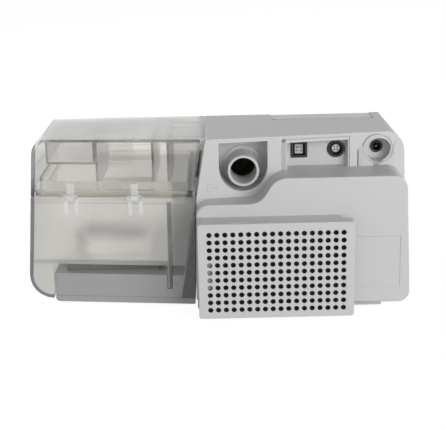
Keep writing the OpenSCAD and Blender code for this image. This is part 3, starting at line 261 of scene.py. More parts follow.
def rounded_copy(node, material, edge=0.35, steps=2, rework=None, reach=0.0):
    """The CAD form of a node with small radii at its edges, sizes in mm. A radius that pulls a corner
    further off the CAD form than 2.5 radii, or than the reach of the rework, or that folds a face
    over itself, is made smaller."""
    source = frame["nodes"][node].data
    form = BVHTree.FromPolygons([v.co for v in source.vertices], [p.vertices for p in source.polygons])
    for width in (edge, edge * 0.5, edge * 0.2, 0):
        body = clean_body(node)
        if rework:
            rework(body)
        piece = from_body(body, node + "_piece", material)
        if width:
            bevelled(piece, width, steps)
        limit = (max(width * 2.5, reach) + 0.05) * MM
        middles, areas = triangles(piece.data)
        near = all(form.find_nearest(p)[3] < limit for p in middles + [v.co for v in piece.data.vertices])
        if near and sum(areas) < sum(triangles(source)[1]) * 1.003:
            break
        if width:
            bpy.data.objects.remove(piece)
    return piece


def round_edges(body, width, steps=2, chosen=None):
    """Rounds every edge of the body, or those that chosen picks; width in mm."""
    edges = [edge for edge in body.edges
             if len(edge.link_faces) == 2 and (chosen is None or chosen(edge))]
    bmesh.ops.bevel(body, geom=edges, offset=width * MM, offset_type="OFFSET", segments=steps,
                    profile=0.5, affect="EDGES", clamp_overlap=True)


def drawn(name, lines, width, height, where, material):
    """A raised line drawing: each line a list of points in mm on the plane of the matrix where."""
    body = bmesh.new()
    for line in lines:
        for start, end in zip(line, line[1:]):
            start, end = Vector(start).to_3d(), Vector(end).to_3d()
            along = end - start
            turn = Matrix.Rotation(math.atan2(along.y, along.x), 4, "Z")
            size = Matrix.Diagonal((along.length + width, width, height, 1))
            bmesh.ops.create_cube(body, size=1, matrix=Matrix.Translation((start + end) / 2) @ turn @ size)
    body.transform(where @ Matrix.Scale(MM, 4))
    return from_body(body, name, material)


def lathed(name, profile, material, segments=48):
    """A turned piece from (radius, height) pairs in mm, its axis along Z; ends at radius 0 close it."""
    body = bmesh.new()
    rings = []
    for radius, height in profile:
        angles = [math.tau * i / segments for i in range(segments if radius else 1)]
        rings.append([body.verts.new((radius * MM * math.cos(a), radius * MM * math.sin(a), height * MM))
                      for a in angles])
    for low, high in zip(rings, rings[1:]):
        for i in range(segments):
            j = (i + 1) % segments
            corners = [low[i % len(low)], low[j % len(low)], high[j % len(high)], high[i % len(high)]]
            corners = [c for k, c in enumerate(corners) if c not in corners[:k]]
            body.faces.new(corners)
    bmesh.ops.recalc_face_normals(body, faces=body.faces)
    return from_body(body, name, material)


def cut(piece, *tools):
    """Takes the tools away from the piece."""
    for tool in tools:
        opening = piece.modifiers.new("opening", "BOOLEAN")
        opening.operation = "DIFFERENCE"
        opening.solver = "EXACT"
        opening.object = tool
        finished(piece)
        bpy.data.objects.remove(tool)
    return piece


def prism(name, outline, low, high, material, edge=0.3):
    """An outline of (x, y) corners in mm, anticlockwise, drawn up from low to high, its edges rounded."""
    body = bmesh.new()
    floor, roof = ([body.verts.new((x * MM, y * MM, z * MM)) for x, y in outline] for z in (low, high))
    body.faces.new(floor[::-1])
    body.faces.new(roof)
    for i in range(len(outline)):
        j = (i + 1) % len(outline)
        body.faces.new((floor[i], floor[j], roof[j], roof[i]))
    bmesh.ops.recalc_face_normals(body, faces=body.faces)
    round_edges(body, edge)
    return from_body(body, name, material)


def at_mm(x, y, z):
    """The matrix that moves a piece to a place in mm."""
    return Matrix.Translation((x * MM, y * MM, z * MM))


panel_turn = math.radians(8.5)
panel_normal = Vector((-math.sin(panel_turn), math.cos(panel_turn), 0))
joint_top, panel_depth = 7.03, 57.6
upper_low, upper_high = (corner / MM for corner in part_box("upper_housing"))
shoulder = Vector((upper_low.x + 17.5, upper_high.z - 16.0))
shoulder_in, top_in, side_in = 15.5, 1.4, 2.4
bulge_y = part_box("filter_frame")[0].y / MM
sunk_l, sunk_r, sunk_low, sunk_top = -131, -96, 18, 58


def panel_at(x):
    """Depth in mm of the rear panel's plane at x in mm."""
    return panel_depth + (x - joint_top) * math.tan(panel_turn)


def rear_outline(edge):
    """Edges between the rear panel and the top, the shoulder or the outer side."""
    first, second = (face.normal.dot(panel_normal) > 0.999 for face in edge.link_faces)
    ends = [v.co / MM for v in edge.verts]
    outside = all(
        end.z > upper_high.z - top_in or end.x < upper_low.x + side_in
        or (end.x < shoulder.x and (end.xz - shoulder).length > shoulder_in) for end in ends)
    return first != second and outside and edge.is_convex


def bulge_outline(edge):
    """Edges round the flat rear face of the filter bulge, without the sunk rectangle."""
    first, second = (face.normal.y > 0.999 for face in edge.link_faces)
    ends = [v.co / MM for v in edge.verts]
    behind = all(abs(end.y - bulge_y) < 0.05 for end in ends)
    sunk = all(sunk_l < end.x < sunk_r and sunk_low < end.z < sunk_top for end in ends)
    return first != second and behind and not sunk and edge.is_convex


shell = moulded_plastic("shell_abs", (0.63, 0.63, 0.635), roughness=0.48)
bulge_edge, panel_edge = 1.8, 2.4
lower = rounded_copy("lower_housing", shell, reach=1.0,
                     rework=lambda body: round_edges(body, bulge_edge, 4, bulge_outline))
place(weighted(lower), "lower_housing", "shell")
upper = rounded_copy("upper_housing", shell, reach=1.2,
                     rework=lambda body: round_edges(body, panel_edge, 5, rear_outline))

# The sign beside the outlet, printed on the rear panel, and the hood over the pocket of the data
# sockets: a low raised brow with a sloping flank at its inner end, moulded with the upper housing.
sign_x, sign_z, sign_line, sign_height = 3.1, 90, 0.35, 0.16
sign_place = (at_mm(sign_x, panel_at(sign_x), sign_z)
              @ Matrix.Rotation(math.pi + panel_turn, 4, "Z") @ Matrix.Rotation(math.pi / 2, 4, "X"))
sign_grey = moulded_plastic("sign_print", (0.50, 0.50, 0.505), roughness=0.5)
sign = drawn("outlet_sign", [[(1.4, 2.6), (-3.2, 2.6), (-3.2, -2.6), (1.4, -2.6)],
                             [(-1.2, 0), (3.6, 0)], [(2.4, 1.1), (3.6, 0), (2.4, -1.1)]],
             sign_line, sign_height, sign_place, sign_grey)
socket_low, socket_high = (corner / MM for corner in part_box("square_socket"))
pocket_below, pocket_h = 11.8, 20
pocket_low = (socket_low.z + socket_high.z) / 2 - pocket_below
pocket_top = pocket_low + pocket_h
hood_end, hood_in, hood_out = -46.9, -49.9, -95.5
hood_rise, hood_h, hood_root, flank_w = 2.0, 2.2, 1, 0.8
hood_slope = [(hood_end, panel_at(hood_end)), (hood_in, panel_at(hood_in) + hood_rise)]
brow_outline = hood_slope + [(hood_out, panel_at(hood_out) + hood_rise),
                             (hood_out, panel_at(hood_out) - hood_root),
                             (hood_end, panel_at(hood_end) - hood_root)]
flank_outline = hood_slope + [(hood_in - flank_w, panel_at(hood_in) + hood_rise),
                              (hood_in - flank_w, socket_low.y + 1), (hood_end, socket_low.y + 1)]
brow = prism("hood_brow", brow_outline, pocket_top, pocket_top + hood_h, shell)
flank = prism("hood_flank", flank_outline, pocket_low, pocket_top + hood_h, shell)

# The collar of the power bowl: a ring a little off the bowl's middle, on a block that stands on the
# ledge below it. Both are moulded with the upper housing, and the bowl's bore goes through them.
jack_low, jack_high = (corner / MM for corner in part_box("dc_jack"))
jack = (jack_low + jack_high) / 2
collar_y, collar_r, collar_depth, collar_in, collar_up = 41.9, 10.3, 5, 1.5, 1
bowl_r, bore_y, bore_l = 8.8, 30, 30


def bowl_tool():
    """The bowl's bore, to be taken out of its collar."""
    bore = lathed("bowl_tool", [(0, 0), (bowl_r, 0), (bowl_r, bore_l), (0, bore_l)], shell, 64)
    bore.data.transform(at_mm(jack.x, bore_y, jack.z) @ Matrix.Rotation(-math.pi / 2, 4, "X"))
    return bore


collar = lathed("bowl_collar", [(0, 0), (collar_r, 0), (collar_r, collar_depth - 0.4),
                                (collar_r - 0.4, collar_depth), (0, collar_depth)], shell, 64)
collar.data.transform(at_mm(jack.x + collar_in, collar_y - collar_depth, jack.z + collar_up)
                      @ Matrix.Rotation(-math.pi / 2, 4, "X"))
stand_end, stand_in, stand_out, stand_y = jack.x + 14.8, jack.x + 11.6, jack.x + 4, collar_y - 0.3
stand_outline = [(stand_end, panel_at(stand_end)), (stand_in, stand_y), (stand_out, stand_y),
                 (stand_out, collar_y - collar_depth), (stand_end, panel_at(stand_end) - 1)]
stand = prism("collar_stand", stand_outline, pocket_low - 3, jack.z + 3, shell)
place(weighted(joined("upper_housing_piece", upper, sign, brow, flank, cut(collar, bowl_tool()),
                      cut(stand, bowl_tool()))), "upper_housing", "shell")

# The underside: a moulded cover, four soft feet pressed into it and four screws that hold the two
# housings together. The feet are turned from one profile and the screws are one pattern with a
# cross recess, so both are set out as copies.


def make_copies_group():
    """Copies of one object on points, each turned as the point's turn attribute says, as one mesh."""
    tree, given, result = new_group(
        "copies_on_points", "GeometryNodeTree",
        {"Points": ("NodeSocketGeometry", None), "Unit": ("NodeSocketObject", None),
         "Random spin": ("NodeSocketFloat", 0.0), "Seed": ("NodeSocketInt", 1),
         "Weld": ("NodeSocketFloat", 0.0), "Material": ("NodeSocketMaterial", None)},
        {"Copies": "NodeSocketGeometry"})
    unit = add_node(tree, "GeometryNodeObjectInfo", {"Object": given.outputs["Unit"]})
    turn = add_node(tree, "GeometryNodeInputNamedAttribute", {"Name": "turn"}, data_type="FLOAT_VECTOR")
    least = math_node(tree, "MULTIPLY", given.outputs["Random spin"], -1.0)
    spin = add_node(tree, "FunctionNodeRandomValue",
                    {"Min": least, "Max": given.outputs["Random spin"], "Seed": given.outputs["Seed"]},
                    data_type="FLOAT")
    axis = add_node(tree, "ShaderNodeCombineXYZ", {"Z": spin.outputs[1]})
    copies = add_node(tree, "GeometryNodeInstanceOnPoints",
                      {"Points": given.outputs["Points"], "Instance": unit.outputs["Geometry"],
                       "Rotation": turn.outputs["Attribute"]})
    spun = add_node(tree, "GeometryNodeRotateInstances",
                    {"Instances": copies.outputs["Instances"], "Rotation": axis.outputs[0]})
    real = add_node(tree, "GeometryNodeRealizeInstances", {"Geometry": spun.outputs[0]})
    welded = add_node(tree, "GeometryNodeMergeByDistance",
                      {"Geometry": real.outputs[0], "Distance": given.outputs["Weld"]})
    painted = add_node(tree, "GeometryNodeSetMaterial",
                       {"Geometry": welded.outputs[0], "Material": given.outputs["Material"]})
    tree.links.new(painted.outputs[0], result.inputs["Copies"])
    return tree


copies_group = make_copies_group()


def set_out(name, unit, points, material, turns=None, spin=0.0, seed=1, weld=0.0):
    """Copies of the unit on points in mm, each with its own turn in radians; the unit is used up."""
    mesh = bpy.data.meshes.new(name + "_points")
    mesh.from_pydata([[c * MM for c in point] for point in points], [], [])
    turn = mesh.attributes.new("turn", "FLOAT_VECTOR", "POINT")
    for i, value in enumerate(turns or [(0, 0, 0)] * len(points)):
        turn.data[i].vector = value
    piece = bpy.data.objects.new(name, mesh)
    bpy.context.scene.collection.objects.link(piece)
    copies = piece.modifiers.new("copies", "NODES")
    copies.node_group = copies_group
    values = {"Unit": unit, "Random spin": spin, "Seed": seed, "Weld": weld * MM, "Material": material}
    for item in copies_group.interface.items_tree:
        if item.name in values and item.in_out == "INPUT":
            copies[item.identifier] = values[item.name]
    finished(piece)
    piece.data.materials.clear()
    piece.data.materials.append(material)
    bpy.data.objects.remove(unit)
    return piece


def block(name, low, high, material, edge=0.3):
    """A block between two corners in mm with rounded edges."""
    low, high = Vector(low), Vector(high)
    body = bmesh.new()
    bmesh.ops.create_cube(body, size=1, matrix=Matrix.Translation((low + high) / 2 * MM)
                          @ Matrix.Diagonal((*((high - low) * MM), 1)))
    if edge:
        round_edges(body, edge)
    return from_body(body, name, material)


def soft_edged(node, material, slot, **choice):
    """A whole CAD node as a finished piece."""
    place(weighted(rounded_copy(node, material, **choice)), node, slot)


rubber = moulded_plastic("rubber", (0.03, 0.03, 0.031), roughness=0.7, grain=0.3, depth=0.03)
steel = moulded_plastic("bright_steel", (0.55, 0.56, 0.57), roughness=0.3, grain=0.2, depth=0.004,
                        Metallic=1.0)
soft_edged("bottom_cover", shell, "shell", edge=0.5)


def foot(name, radius, height):
    """A turned foot with a dimple and a groove in its tread."""
    tread = [(0, 0.25), (1.6, 0.25), (1.9, 0), (2.9, 0), (3.1, 0.4), (3.6, 0.4), (3.8, 0)]
    side = [(radius - 0.7, 0), (radius - 0.2, 0.2), (radius, 0.7), (radius, height), (0, height)]
    return lathed(name, tread + side, rubber)


def centres(node):
    """The middle in x and y and the lowest z, in mm, of each loose solid of a CAD node."""
    body = clean_body(node)
    left = set(body.verts)
    found = []
    while left:
        solid, front = set(), [left.pop()]
        while front:
            vert = front.pop()
            solid.add(vert)
            front += [v for e in vert.link_edges for v in e.verts if v in left]
            left -= set(front)
        low = [min(v.co[k] for v in solid) for k in range(3)]
        high = [max(v.co[k] for v in solid) for k in range(3)]
        found.append(((low[0] + high[0]) / 2 / MM, (low[1] + high[1]) / 2 / MM, low[2] / MM))
    body.free()
    return found


foot_r, foot_h = 6.9, 2.6
place(weighted(set_out("main_feet_piece", foot("foot_unit", foot_r, foot_h), centres("main_feet"), rubber)),
      "main_feet", "rubber")
head_r, head_h, shank_r, screw_l = 2.8, 2.2, 1.4, 82.2
screw = lathed("screw_unit", [(0, 0), (head_r - 0.4, 0), (head_r - 0.1, 0.3), (head_r, 0.8),
                              (head_r, head_h), (shank_r, head_h), (shank_r, screw_l - 0.2),
                              (0, screw_l)], steel, 32)
arm, half_slot, slot_depth = 1.7, 0.35, 1.2
cross = [block("cross_tool", (-x, -y, -1), (x, y, slot_depth), steel, 0)
         for x, y in ((arm, half_slot), (half_slot, arm))]
screws = set_out("housing_screws_piece", cut(screw, *cross), centres("housing_screws"), steel, spin=1.5)
place(weighted(screws), "housing_screws", "steel")

# The filter cap: a moulded lid with a thin field of small round holes, a finger hollow in its top
# edge and two tabs that clamp in the neck. The holes are one cell set out 18 by 11 times.
cap_near, cap_far = (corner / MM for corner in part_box("filter_cap"))
cap_l, cap_r, cap_low, cap_top, cap_y = cap_near.x, cap_far.x, cap_near.z, cap_far.z, cap_far.y
neck_y, cap_wall, field_wall = cap_y - 9.3, 2.2, 0.9
hole_r, mouth_r, mouth_depth, pitch, columns, rows = 1.8, 2.02, 0.25, 5.45, 18, 11
field_x, field_z = (cap_l + cap_r) / 2 - 0.2, (cap_low + cap_top) / 2 - 0.7


def make_cell():
    """One square of the field with its hole, its outer face at height 0, looking along +Z."""
    body = bmesh.new()
    count = 32
    directions = [(math.cos(a), math.sin(a)) for a in (math.tau * i / count for i in range(count))]
    hole, mouth = [hole_r] * count, [mouth_r] * count
    square = [pitch / 2 / max(abs(x), abs(y)) for x, y in directions]
    loops = [[body.verts.new((r * x * MM, r * y * MM, height * MM)) for r, (x, y) in zip(radii, directions)]
             for radii, height in ((hole, -field_wall), (hole, -mouth_depth), (mouth, 0), (square, 0),
                                   (square, -field_wall))]
    for low, high in ((0, 1), (1, 2), (2, 3), (4, 0)):
        for i in range(count):
            j = (i + 1) % count
            body.faces.new((loops[low][j], loops[low][i], loops[high][i], loops[high][j]))
    bmesh.ops.reverse_faces(body, faces=body.faces)
    return from_body(body, "cell_unit", shell)


field = set_out("hole_field", make_cell(),
                [(field_x + (c - (columns - 1) / 2) * pitch, cap_y, field_z + (r - (rows - 1) / 2) * pitch)
                 for c in range(columns) for r in range(rows)],
                shell, turns=[(-math.pi / 2, 0, 0)] * (columns * rows), weld=0.005)


def make_rim():
    """The cap's outer block, its corners round and a small radius round its outer face."""
    rim = block("cap_rim", (cap_l, neck_y, cap_low), (cap_r, cap_y, cap_top), shell, 0)
    body = bmesh.new()
    body.from_mesh(rim.data)
    bpy.data.objects.remove(rim)
    corner_r, face_r = 1.6, 0.5
    round_edges(body, corner_r, 4,
                lambda edge: abs((edge.verts[0].co - edge.verts[1].co).normalized().y) > 0.9)
    round_edges(body, face_r, 3, lambda edge: all(v.co.y > (cap_y - 0.1) * MM for v in edge.verts)
                and sum(f.normal.y > 0.9 for f in edge.link_faces) == 1)
    return from_body(body, "cap_rim", shell)


rim = make_rim()
half_w, half_h = columns * pitch / 2, rows * pitch / 2
cut(rim,
    block("cavity", (cap_l + cap_wall, neck_y - 5, cap_low + cap_wall),
          (cap_r - cap_wall, cap_y - cap_wall, cap_top - cap_wall), shell, 0),
    block("field_tool", (field_x - half_w, cap_y - 5, field_z - half_h),
          (field_x + half_w, cap_y + 5, field_z + half_h), shell, 0))
hollow_x, hollow_y, hollow_z = joint_top - 23.1, cap_y - 2.8, cap_top + 22.8
hollow_r, half_depth = 24, 1.4
hollow = lathed("hollow_tool", [(0, -half_depth), (hollow_r, -half_depth), (hollow_r, half_depth),
                                (0, half_depth)], shell, 128)
hollow.data.transform(at_mm(hollow_x, hollow_y, hollow_z) @ Matrix.Rotation(math.pi / 2, 4, "X"))
cut(rim, hollow)
tab_grey = moulded_plastic("tab_abs", (0.30, 0.30, 0.30), roughness=0.5)
tab_low, tab_top, tab_y = cap_low + 20.8, cap_low + 42.3, cap_y - cap_wall
tabs = [block("cap_tab", (left, cap_near.y, tab_low), (left + width, tab_y, tab_top), tab_grey)
        for left, width in ((cap_l + 9.7, 1.6), (cap_r - 9.3, 6.0))]
place(weighted(joined("filter_cap_piece", field, rim, *tabs)), "filter_cap", "shell")

# The filters behind the cap: black open foam, a white felt and the moulded frame that holds them
# in the neck. They are seen only through the holes and when the cap is off.
foam = moulded_plastic("inlet_foam", (0.010, 0.010, 0.010), roughness=0.95, grain=1.2, depth=0.6,
                       cloudiness=0.5)
felt = moulded_plastic("fine_felt", (0.8, 0.8, 0.78), roughness=0.9, grain=0.3, depth=0.1)
soft_edged("coarse_filter", foam, "filter_foam", edge=0.5)
soft_edged("fine_filter", felt, "filter_fine", edge=0.3)
soft_edged("filter_frame", shell, "shell", edge=0.3)

# The way of the air inside: muffler with foam, blower with its motor on soft mounts, hose and the
# elbow to the outlet. All are plain moulded parts that snap or press together.
grey_foam = moulded_plastic("muffler_foam", (0.06, 0.06, 0.065), roughness=0.95, grain=1.0, depth=0.6,
                            cloudiness=0.5)
motor_paint = moulded_plastic("motor_paint", (0.05, 0.05, 0.055), roughness=0.35, Metallic=0.6)
elbow_plastic = moulded_plastic("elbow_pp", (0.05, 0.045, 0.03), roughness=0.6)
base_grey = moulded_plastic("base_abs", (0.40, 0.40, 0.405), roughness=0.5)
white_plastic = moulded_plastic("inner_pp", (0.68, 0.68, 0.66), roughness=0.45)
dark_plastic = moulded_plastic("dark_pbt", (0.02, 0.02, 0.022), roughness=0.4)
soft_edged("muffler_case", base_grey, "base_grey")
soft_edged("muffler_foam", grey_foam, "foam", edge=0.5)
soft_edged("inlet_gasket", rubber, "rubber")
soft_edged("volute_lower", white_plastic, "white_inner")
soft_edged("volute_upper", white_plastic, "white_inner")
soft_edged("motor", motor_paint, "motor_case")
soft_edged("motor_shaft", steel, "steel", edge=0.2)
soft_edged("blower_mounts", rubber, "rubber", edge=0.3)
soft_edged("blower_hose", rubber, "rubber", edge=0.2)
soft_edged("outlet_elbow", elbow_plastic, "white_inner")
soft_edged("elbow_seal", rubber, "rubber", edge=0.2)

# The impeller: a disc with a hub and nine swept blades, moulded in one piece from dark plastic and
# pressed on the motor's shaft.
fan_low, fan_high = (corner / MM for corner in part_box("impeller"))
fan = ((fan_low.x + fan_high.x) / 2, (fan_low.y + fan_high.y) / 2, fan_low.z)
fan_r, fan_h = (fan_high.x - fan_low.x) / 2, fan_high.z - fan_low.z
bore_r, blade_in, blade_out, blade_count = 1.6, 4.4, fan_r - 0.6, 9
disc = lathed("fan_disc", [(bore_r, 0), (fan_r - 0.4, 0), (fan_r, 0.4), (fan_r, 1.2), (fan_r - 0.3, 1.4),
                           (5.6, 1.6), (5, 2.2), (4.6, fan_h - 0.4), (4.2, fan_h), (bore_r, fan_h),
                           (bore_r, 0)], dark_plastic, 64)
disc.data.transform(at_mm(*fan))


def make_blade():
    """One blade about the fan's middle, a strip that sweeps half a radian and gets lower outwards."""
    body = bmesh.new()
    outline = []
    steps, sweep, foot_z = 12, 0.5, 1.0
    for i in range(steps + 1):
        r = blade_in + (blade_out - blade_in) * i / steps
        turn, top_z = sweep * i / steps, fan_h - 0.6 - 0.08 * r
        outline.append([body.verts.new(((r * math.cos(turn) - side * math.sin(turn)) * MM,
                                        (r * math.sin(turn) + side * math.cos(turn)) * MM, height * MM))
                        for side, height in ((-0.5, foot_z), (0.5, foot_z), (0.4, top_z), (-0.4, top_z))])
    for near, beyond in zip(outline, outline[1:]):
        for i in range(4):
            body.faces.new((near[i], near[(i + 1) % 4], beyond[(i + 1) % 4], beyond[i]))
    body.faces.new(outline[0])
    body.faces.new(outline[-1][::-1])
    bmesh.ops.recalc_face_normals(body, faces=body.faces)
    return from_body(body, "blade_unit", dark_plastic)


blades = set_out("fan_blades", make_blade(), [fan] * blade_count, dark_plastic,
                 turns=[(0, 0, math.tau * i / blade_count) for i in range(blade_count)])
place(weighted(joined("impeller_piece", disc, blades)), "impeller", "dark")

# The outlet: a smooth tube with a foot flange on the recess floor, moulded in the housing's plastic
# and pushed over the dark elbow behind it.
soft_edged("outlet_tube", shell, "shell", edge=0.3)

# The sockets in the pocket and in the bowl: dark glass-filled blocks with light pin carriers, and a
# barrel socket for power. They are pushed in from inside and soldered to the small socket board.
pin_carrier = moulded_plastic("pin_carrier", (0.60, 0.60, 0.60), roughness=0.5)
pin_metal = moulded_plastic("pin_metal", (0.10, 0.10, 0.105), roughness=0.45, Metallic=0.9)
board = moulded_plastic("board_laminate", (0.02, 0.12, 0.05), roughness=0.35, grain=0.8, depth=0.01)
soft_edged("square_socket", dark_plastic, "dark", edge=0.3)
soft_edged("round_socket", dark_plastic, "dark", edge=0.3)
soft_edged("socket_pins", pin_carrier, "base_grey", edge=0.12)
soft_edged("dc_jack", dark_plastic, "dark", edge=0.3)
soft_edged("dc_pin", pin_metal, "steel", edge=0.2)
soft_edged("socket_board", board, "board", edge=0.1)

# The electronics: the main board on four posts with its bulky parts and a field of small chips, and
# the control board behind the sloping face.
chip_black = moulded_plastic("chip_epoxy", (0.015, 0.015, 0.016), roughness=0.45)
board_low, board_high = (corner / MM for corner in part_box("main_board"))
chip = block("chip_unit", (-1.0, -0.6, 0), (1.0, 0.6, 0.55), chip_black, 0.08)
chip_rows, chips_a_row, step_x, step_y = 9, 7, 4.6, 6.2
chip_points = [(board_low.x + 4 + step_x * (i % chips_a_row) + 1.3 * math.sin(3.1 * i),
                board_low.y + 5 + step_y * (i // chips_a_row) + 1.5 * math.cos(2.3 * i),
                board_high.z - 0.02) for i in range(chip_rows * chips_a_row)]
chips = set_out("small_chips", chip, chip_points, chip_black, seed=5, spin=0.03,
                turns=[(0, 0, math.pi / 2 * (i % 3)) for i in range(len(chip_points))])
place(weighted(joined("main_board_piece", rounded_copy("main_board", board, edge=0.1), chips)),
      "main_board", "board")
soft_edged("board_parts", dark_plastic, "parts", edge=0.25)
soft_edged("control_board", board, "board", edge=0.1)
soft_edged("lcd_module", white_plastic, "white_inner", edge=0.2)

# The control face: a thin cover with a glossy dark window, three buttons with raised signs and a
# push-and-turn knob with a fluted rim.
control_grey = moulded_plastic("control_abs", (0.25, 0.25, 0.26), roughness=0.45)
cover_gloss = moulded_plastic("cover_abs", (0.62, 0.62, 0.625), roughness=0.35, depth=0.008)
glass_black = moulded_plastic("window_acrylic", (0.010, 0.011, 0.014), roughness=0.06, depth=0.0,
                              cloudiness=0.2)
cover = rounded_copy("display_cover", cover_gloss, edge=0.2)
cover_low, cover_high = (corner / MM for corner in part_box("display_cover"))
cover_l, cover_r, gap_shade_v = cover_low.x, cover_high.x, 0.2
top_slope = math.radians(2.2)
lip_place = at_mm(0, cover_high.y - 0.4, cover_high.z + 0.15) @ Matrix.Rotation(top_slope, 4, "X")
lip = drawn("cover_lip", [[(cover_l + 4, 0), (cover_r - 3, 0)]], 0.8, 1.6, lip_place, cover_gloss)
# Two dark blocks at the ends of the lip paint the shadow in the gaps at the cover's ends.
cover_gap_shades = drawn("cover_stops", [[(start, gap_shade_v), (end, gap_shade_v)] for start, end in
                              ((cover_r - 1.6, cover_r - 0.6), (cover_l + 1, cover_l + 2.4))],
              1.0, 1.4, lip_place, control_grey)
place(weighted(joined("display_cover_piece", cover, lip, cover_gap_shades)), "display_cover", "cover")
soft_edged("display_window", glass_black, "window", edge=0.15)
face_depth, face_height, face_y, face_z = 29.0, 38.03, -93, 82.3
face_tilt = math.atan2(face_height, face_depth)


def on_face(x, up, out=0.0):
    """The place x across, up along and out of the sloping control face, all in mm."""
    return (at_mm(x, face_y + up * math.cos(face_tilt) - out * math.sin(face_tilt),
                  face_z + up * math.sin(face_tilt) + out * math.cos(face_tilt))
            @ Matrix.Rotation(face_tilt, 4, "X"))


signs = {"ramp_button": [[(-2.2, -1.3), (2.2, -1.3), (2.2, 1.4), (-2.2, -1.3)]],
         "home_button": [[(-1.5, 0.2), (-1.5, -1.6), (1.5, -1.6), (1.5, 0.2)],
                         [(-2.3, 0), (0, 1.8), (2.3, 0)]],
         "mute_button": [[(-2.2, -0.7), (-1.1, -0.7), (0.2, -1.7), (0.2, 1.7), (-1.1, 0.7), (-2.2, 0.7),
                          (-2.2, -0.7)], [(1.1, -0.9), (2.5, 0.9)], [(1.1, 0.9), (2.5, -0.9)]]}
sign_white = moulded_plastic("sign_ink", (0.75, 0.75, 0.75), roughness=0.5)
button_up, button_out = 11.2, 1.08
for node, lines in signs.items():
    low, high = (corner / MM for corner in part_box(node))
    sign = drawn(node + "_sign", lines, 0.35, 0.12, on_face((low.x + high.x) / 2, button_up, button_out),
                 sign_white)
    place(weighted(joined(node + "_piece", rounded_copy(node, control_grey, edge=0.4), sign)),
          node, "base_grey")
soft_edged("encoder_body", dark_plastic, "control_grey", edge=0.2)
soft_edged("encoder_rotor", white_plastic, "white_inner", edge=0.15)
soft_edged("knob_shaft", steel, "steel", edge=0.2)
knob = rounded_copy("control_knob", control_grey, edge=0.5, steps=3)
flute_r, flute_l, flute_foot, flute_count = 0.55, 5.9, 2.6, 40
flute = lathed("flute_unit", [(0, 0), (flute_r - 0.05, 0.2), (flute_r, 0.7), (flute_r, flute_l - 0.7),
                              (flute_r - 0.15, flute_l - 0.2), (0, flute_l)], control_grey, 10)
knob_x, knob_up, rim_r = joint_top - 21, 0.43 * math.hypot(face_height, face_depth), 12.85
ring = [(rim_r * math.cos(a), rim_r * math.sin(a), flute_foot)
        for a in (math.tau * i / flute_count for i in range(flute_count))]
flutes = set_out("knob_flutes", flute, ring, control_grey)
flutes.data.transform(on_face(knob_x, knob_up))
place(weighted(joined("control_knob_piece", knob, flutes)), "control_knob", "control_grey")

# The card door in the outer side, a small flap of the shell's plastic that swings down on two moulded
# pins, and behind it the card slot, a dark moulded block.
soft_edged("card_door", shell, "shell", edge=0.25)
soft_edged("card_slot", dark_plastic, "dark", edge=0.2)

# The humidifier's base: a grey block with the docking wall, a bottom plate with four feet, a brushed
# aluminium heater plate in a rubber seal, the contacts and the release button.


def brushed_metal(name, color, roughness=0.28):
    """Metal brushed along X: fine streaks in gloss and height."""
    material, tree, shader = start_material(name, Metallic=1.0, Base_Color=(*color, 1))
    where = add_node(tree, "ShaderNodeTexCoord").outputs["Object"]
    stretched = add_node(tree, "ShaderNodeMapping", {"Vector": where, "Scale": (60, 4000, 4000)})
    streaks = add_node(tree, "ShaderNodeTexNoise",
                       {"Vector": stretched.outputs[0], "Scale": 1.0, "Detail": 2.0})
    rough = add_node(tree, "ShaderNodeMapRange", {"Value": streaks.outputs["Fac"],
                                                  "To Min": roughness - 0.08, "To Max": roughness + 0.1})
    bump = add_node(tree, "ShaderNodeBump", {"Height": streaks.outputs["Fac"], "Distance": 0.01 * MM})
    tree.links.new(rough.outputs[0], shader.inputs["Roughness"])
    tree.links.new(bump.outputs[0], shader.inputs["Normal"])
    return material


def tinted(piece, material, chosen):
    """Gives the piece a second material on the faces whose middle, in mm, and normal are chosen."""
    piece.data.materials.append(material)
    for face in piece.data.polygons:
        if chosen(face.center / MM, face.normal):
            face.material_index = len(piece.data.materials) - 1


dock_end_y, dock_end_x, dock_end_lean = 40, 26.6, 0.155


def on_shaded_dock_end(at, normal):
    """Faces at the rear end of the docking wall, where the dark strip between the two units is painted
    shade.
    """
    return normal.y > 0.5 and at.y > dock_end_y and at.x < dock_end_x - dock_end_lean * at.z


aluminium = brushed_metal("brushed_aluminium", (0.72, 0.72, 0.72))
dock_painted_shade = moulded_plastic("dock_end_painted_shade", (0.135, 0.135, 0.135), roughness=0.5)
heater_film = moulded_plastic("heater_film", (0.5, 0.2, 0.03), roughness=0.5)
grey_silicone = moulded_plastic("grey_silicone", (0.16, 0.16, 0.155), roughness=0.6)
base = rounded_copy("humidifier_base", base_grey, edge=0.45)
# The rear end of the docking wall takes a dark grey that paints the shade between the two units.
tinted(base, dock_painted_shade, on_shaded_dock_end)
place(weighted(base), "humidifier_base", "base_grey")
soft_edged("humidifier_bottom", base_grey, "base_grey", edge=0.45)
foot_r, foot_h = 6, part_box("humidifier_feet")[1].z / MM
place(weighted(set_out("humidifier_feet_piece", foot("foot_unit", foot_r, foot_h),
                       centres("humidifier_feet"), rubber)), "humidifier_feet", "rubber")
soft_edged("heater_plate", aluminium, "steel", edge=0.4)
soft_edged("heater_pad", heater_film, "pad", edge=0.1)
soft_edged("heater_seal", grey_silicone, "rubber", edge=0.3)
soft_edged("port_seal", rubber, "rubber", edge=0.2)
carrier = rounded_copy("contact_block", dark_plastic, edge=0.3)
contact_low, contact_high = (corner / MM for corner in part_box("contact_block"))
contact_mid, contact_step = (contact_low + contact_high) / 2, 5
contact = block("contact_unit", (-0.25, -1.0, -1.6), (0.4, 1.0, 1.6), steel, 0.2)
contacts = set_out("contact_springs", contact, [(contact_low.x, contact_mid.y + contact_step * i,
                                                 contact_mid.z) for i in (-1, 0, 1)], steel)
place(weighted(joined("contact_block_piece", carrier, contacts)), "contact_block", "dark")
button = rounded_copy("release_button", control_grey, edge=0.4)
button_low, button_high = (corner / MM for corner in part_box("release_button"))
button_mid, grip_step = (button_low + button_high) / 2, 1.5
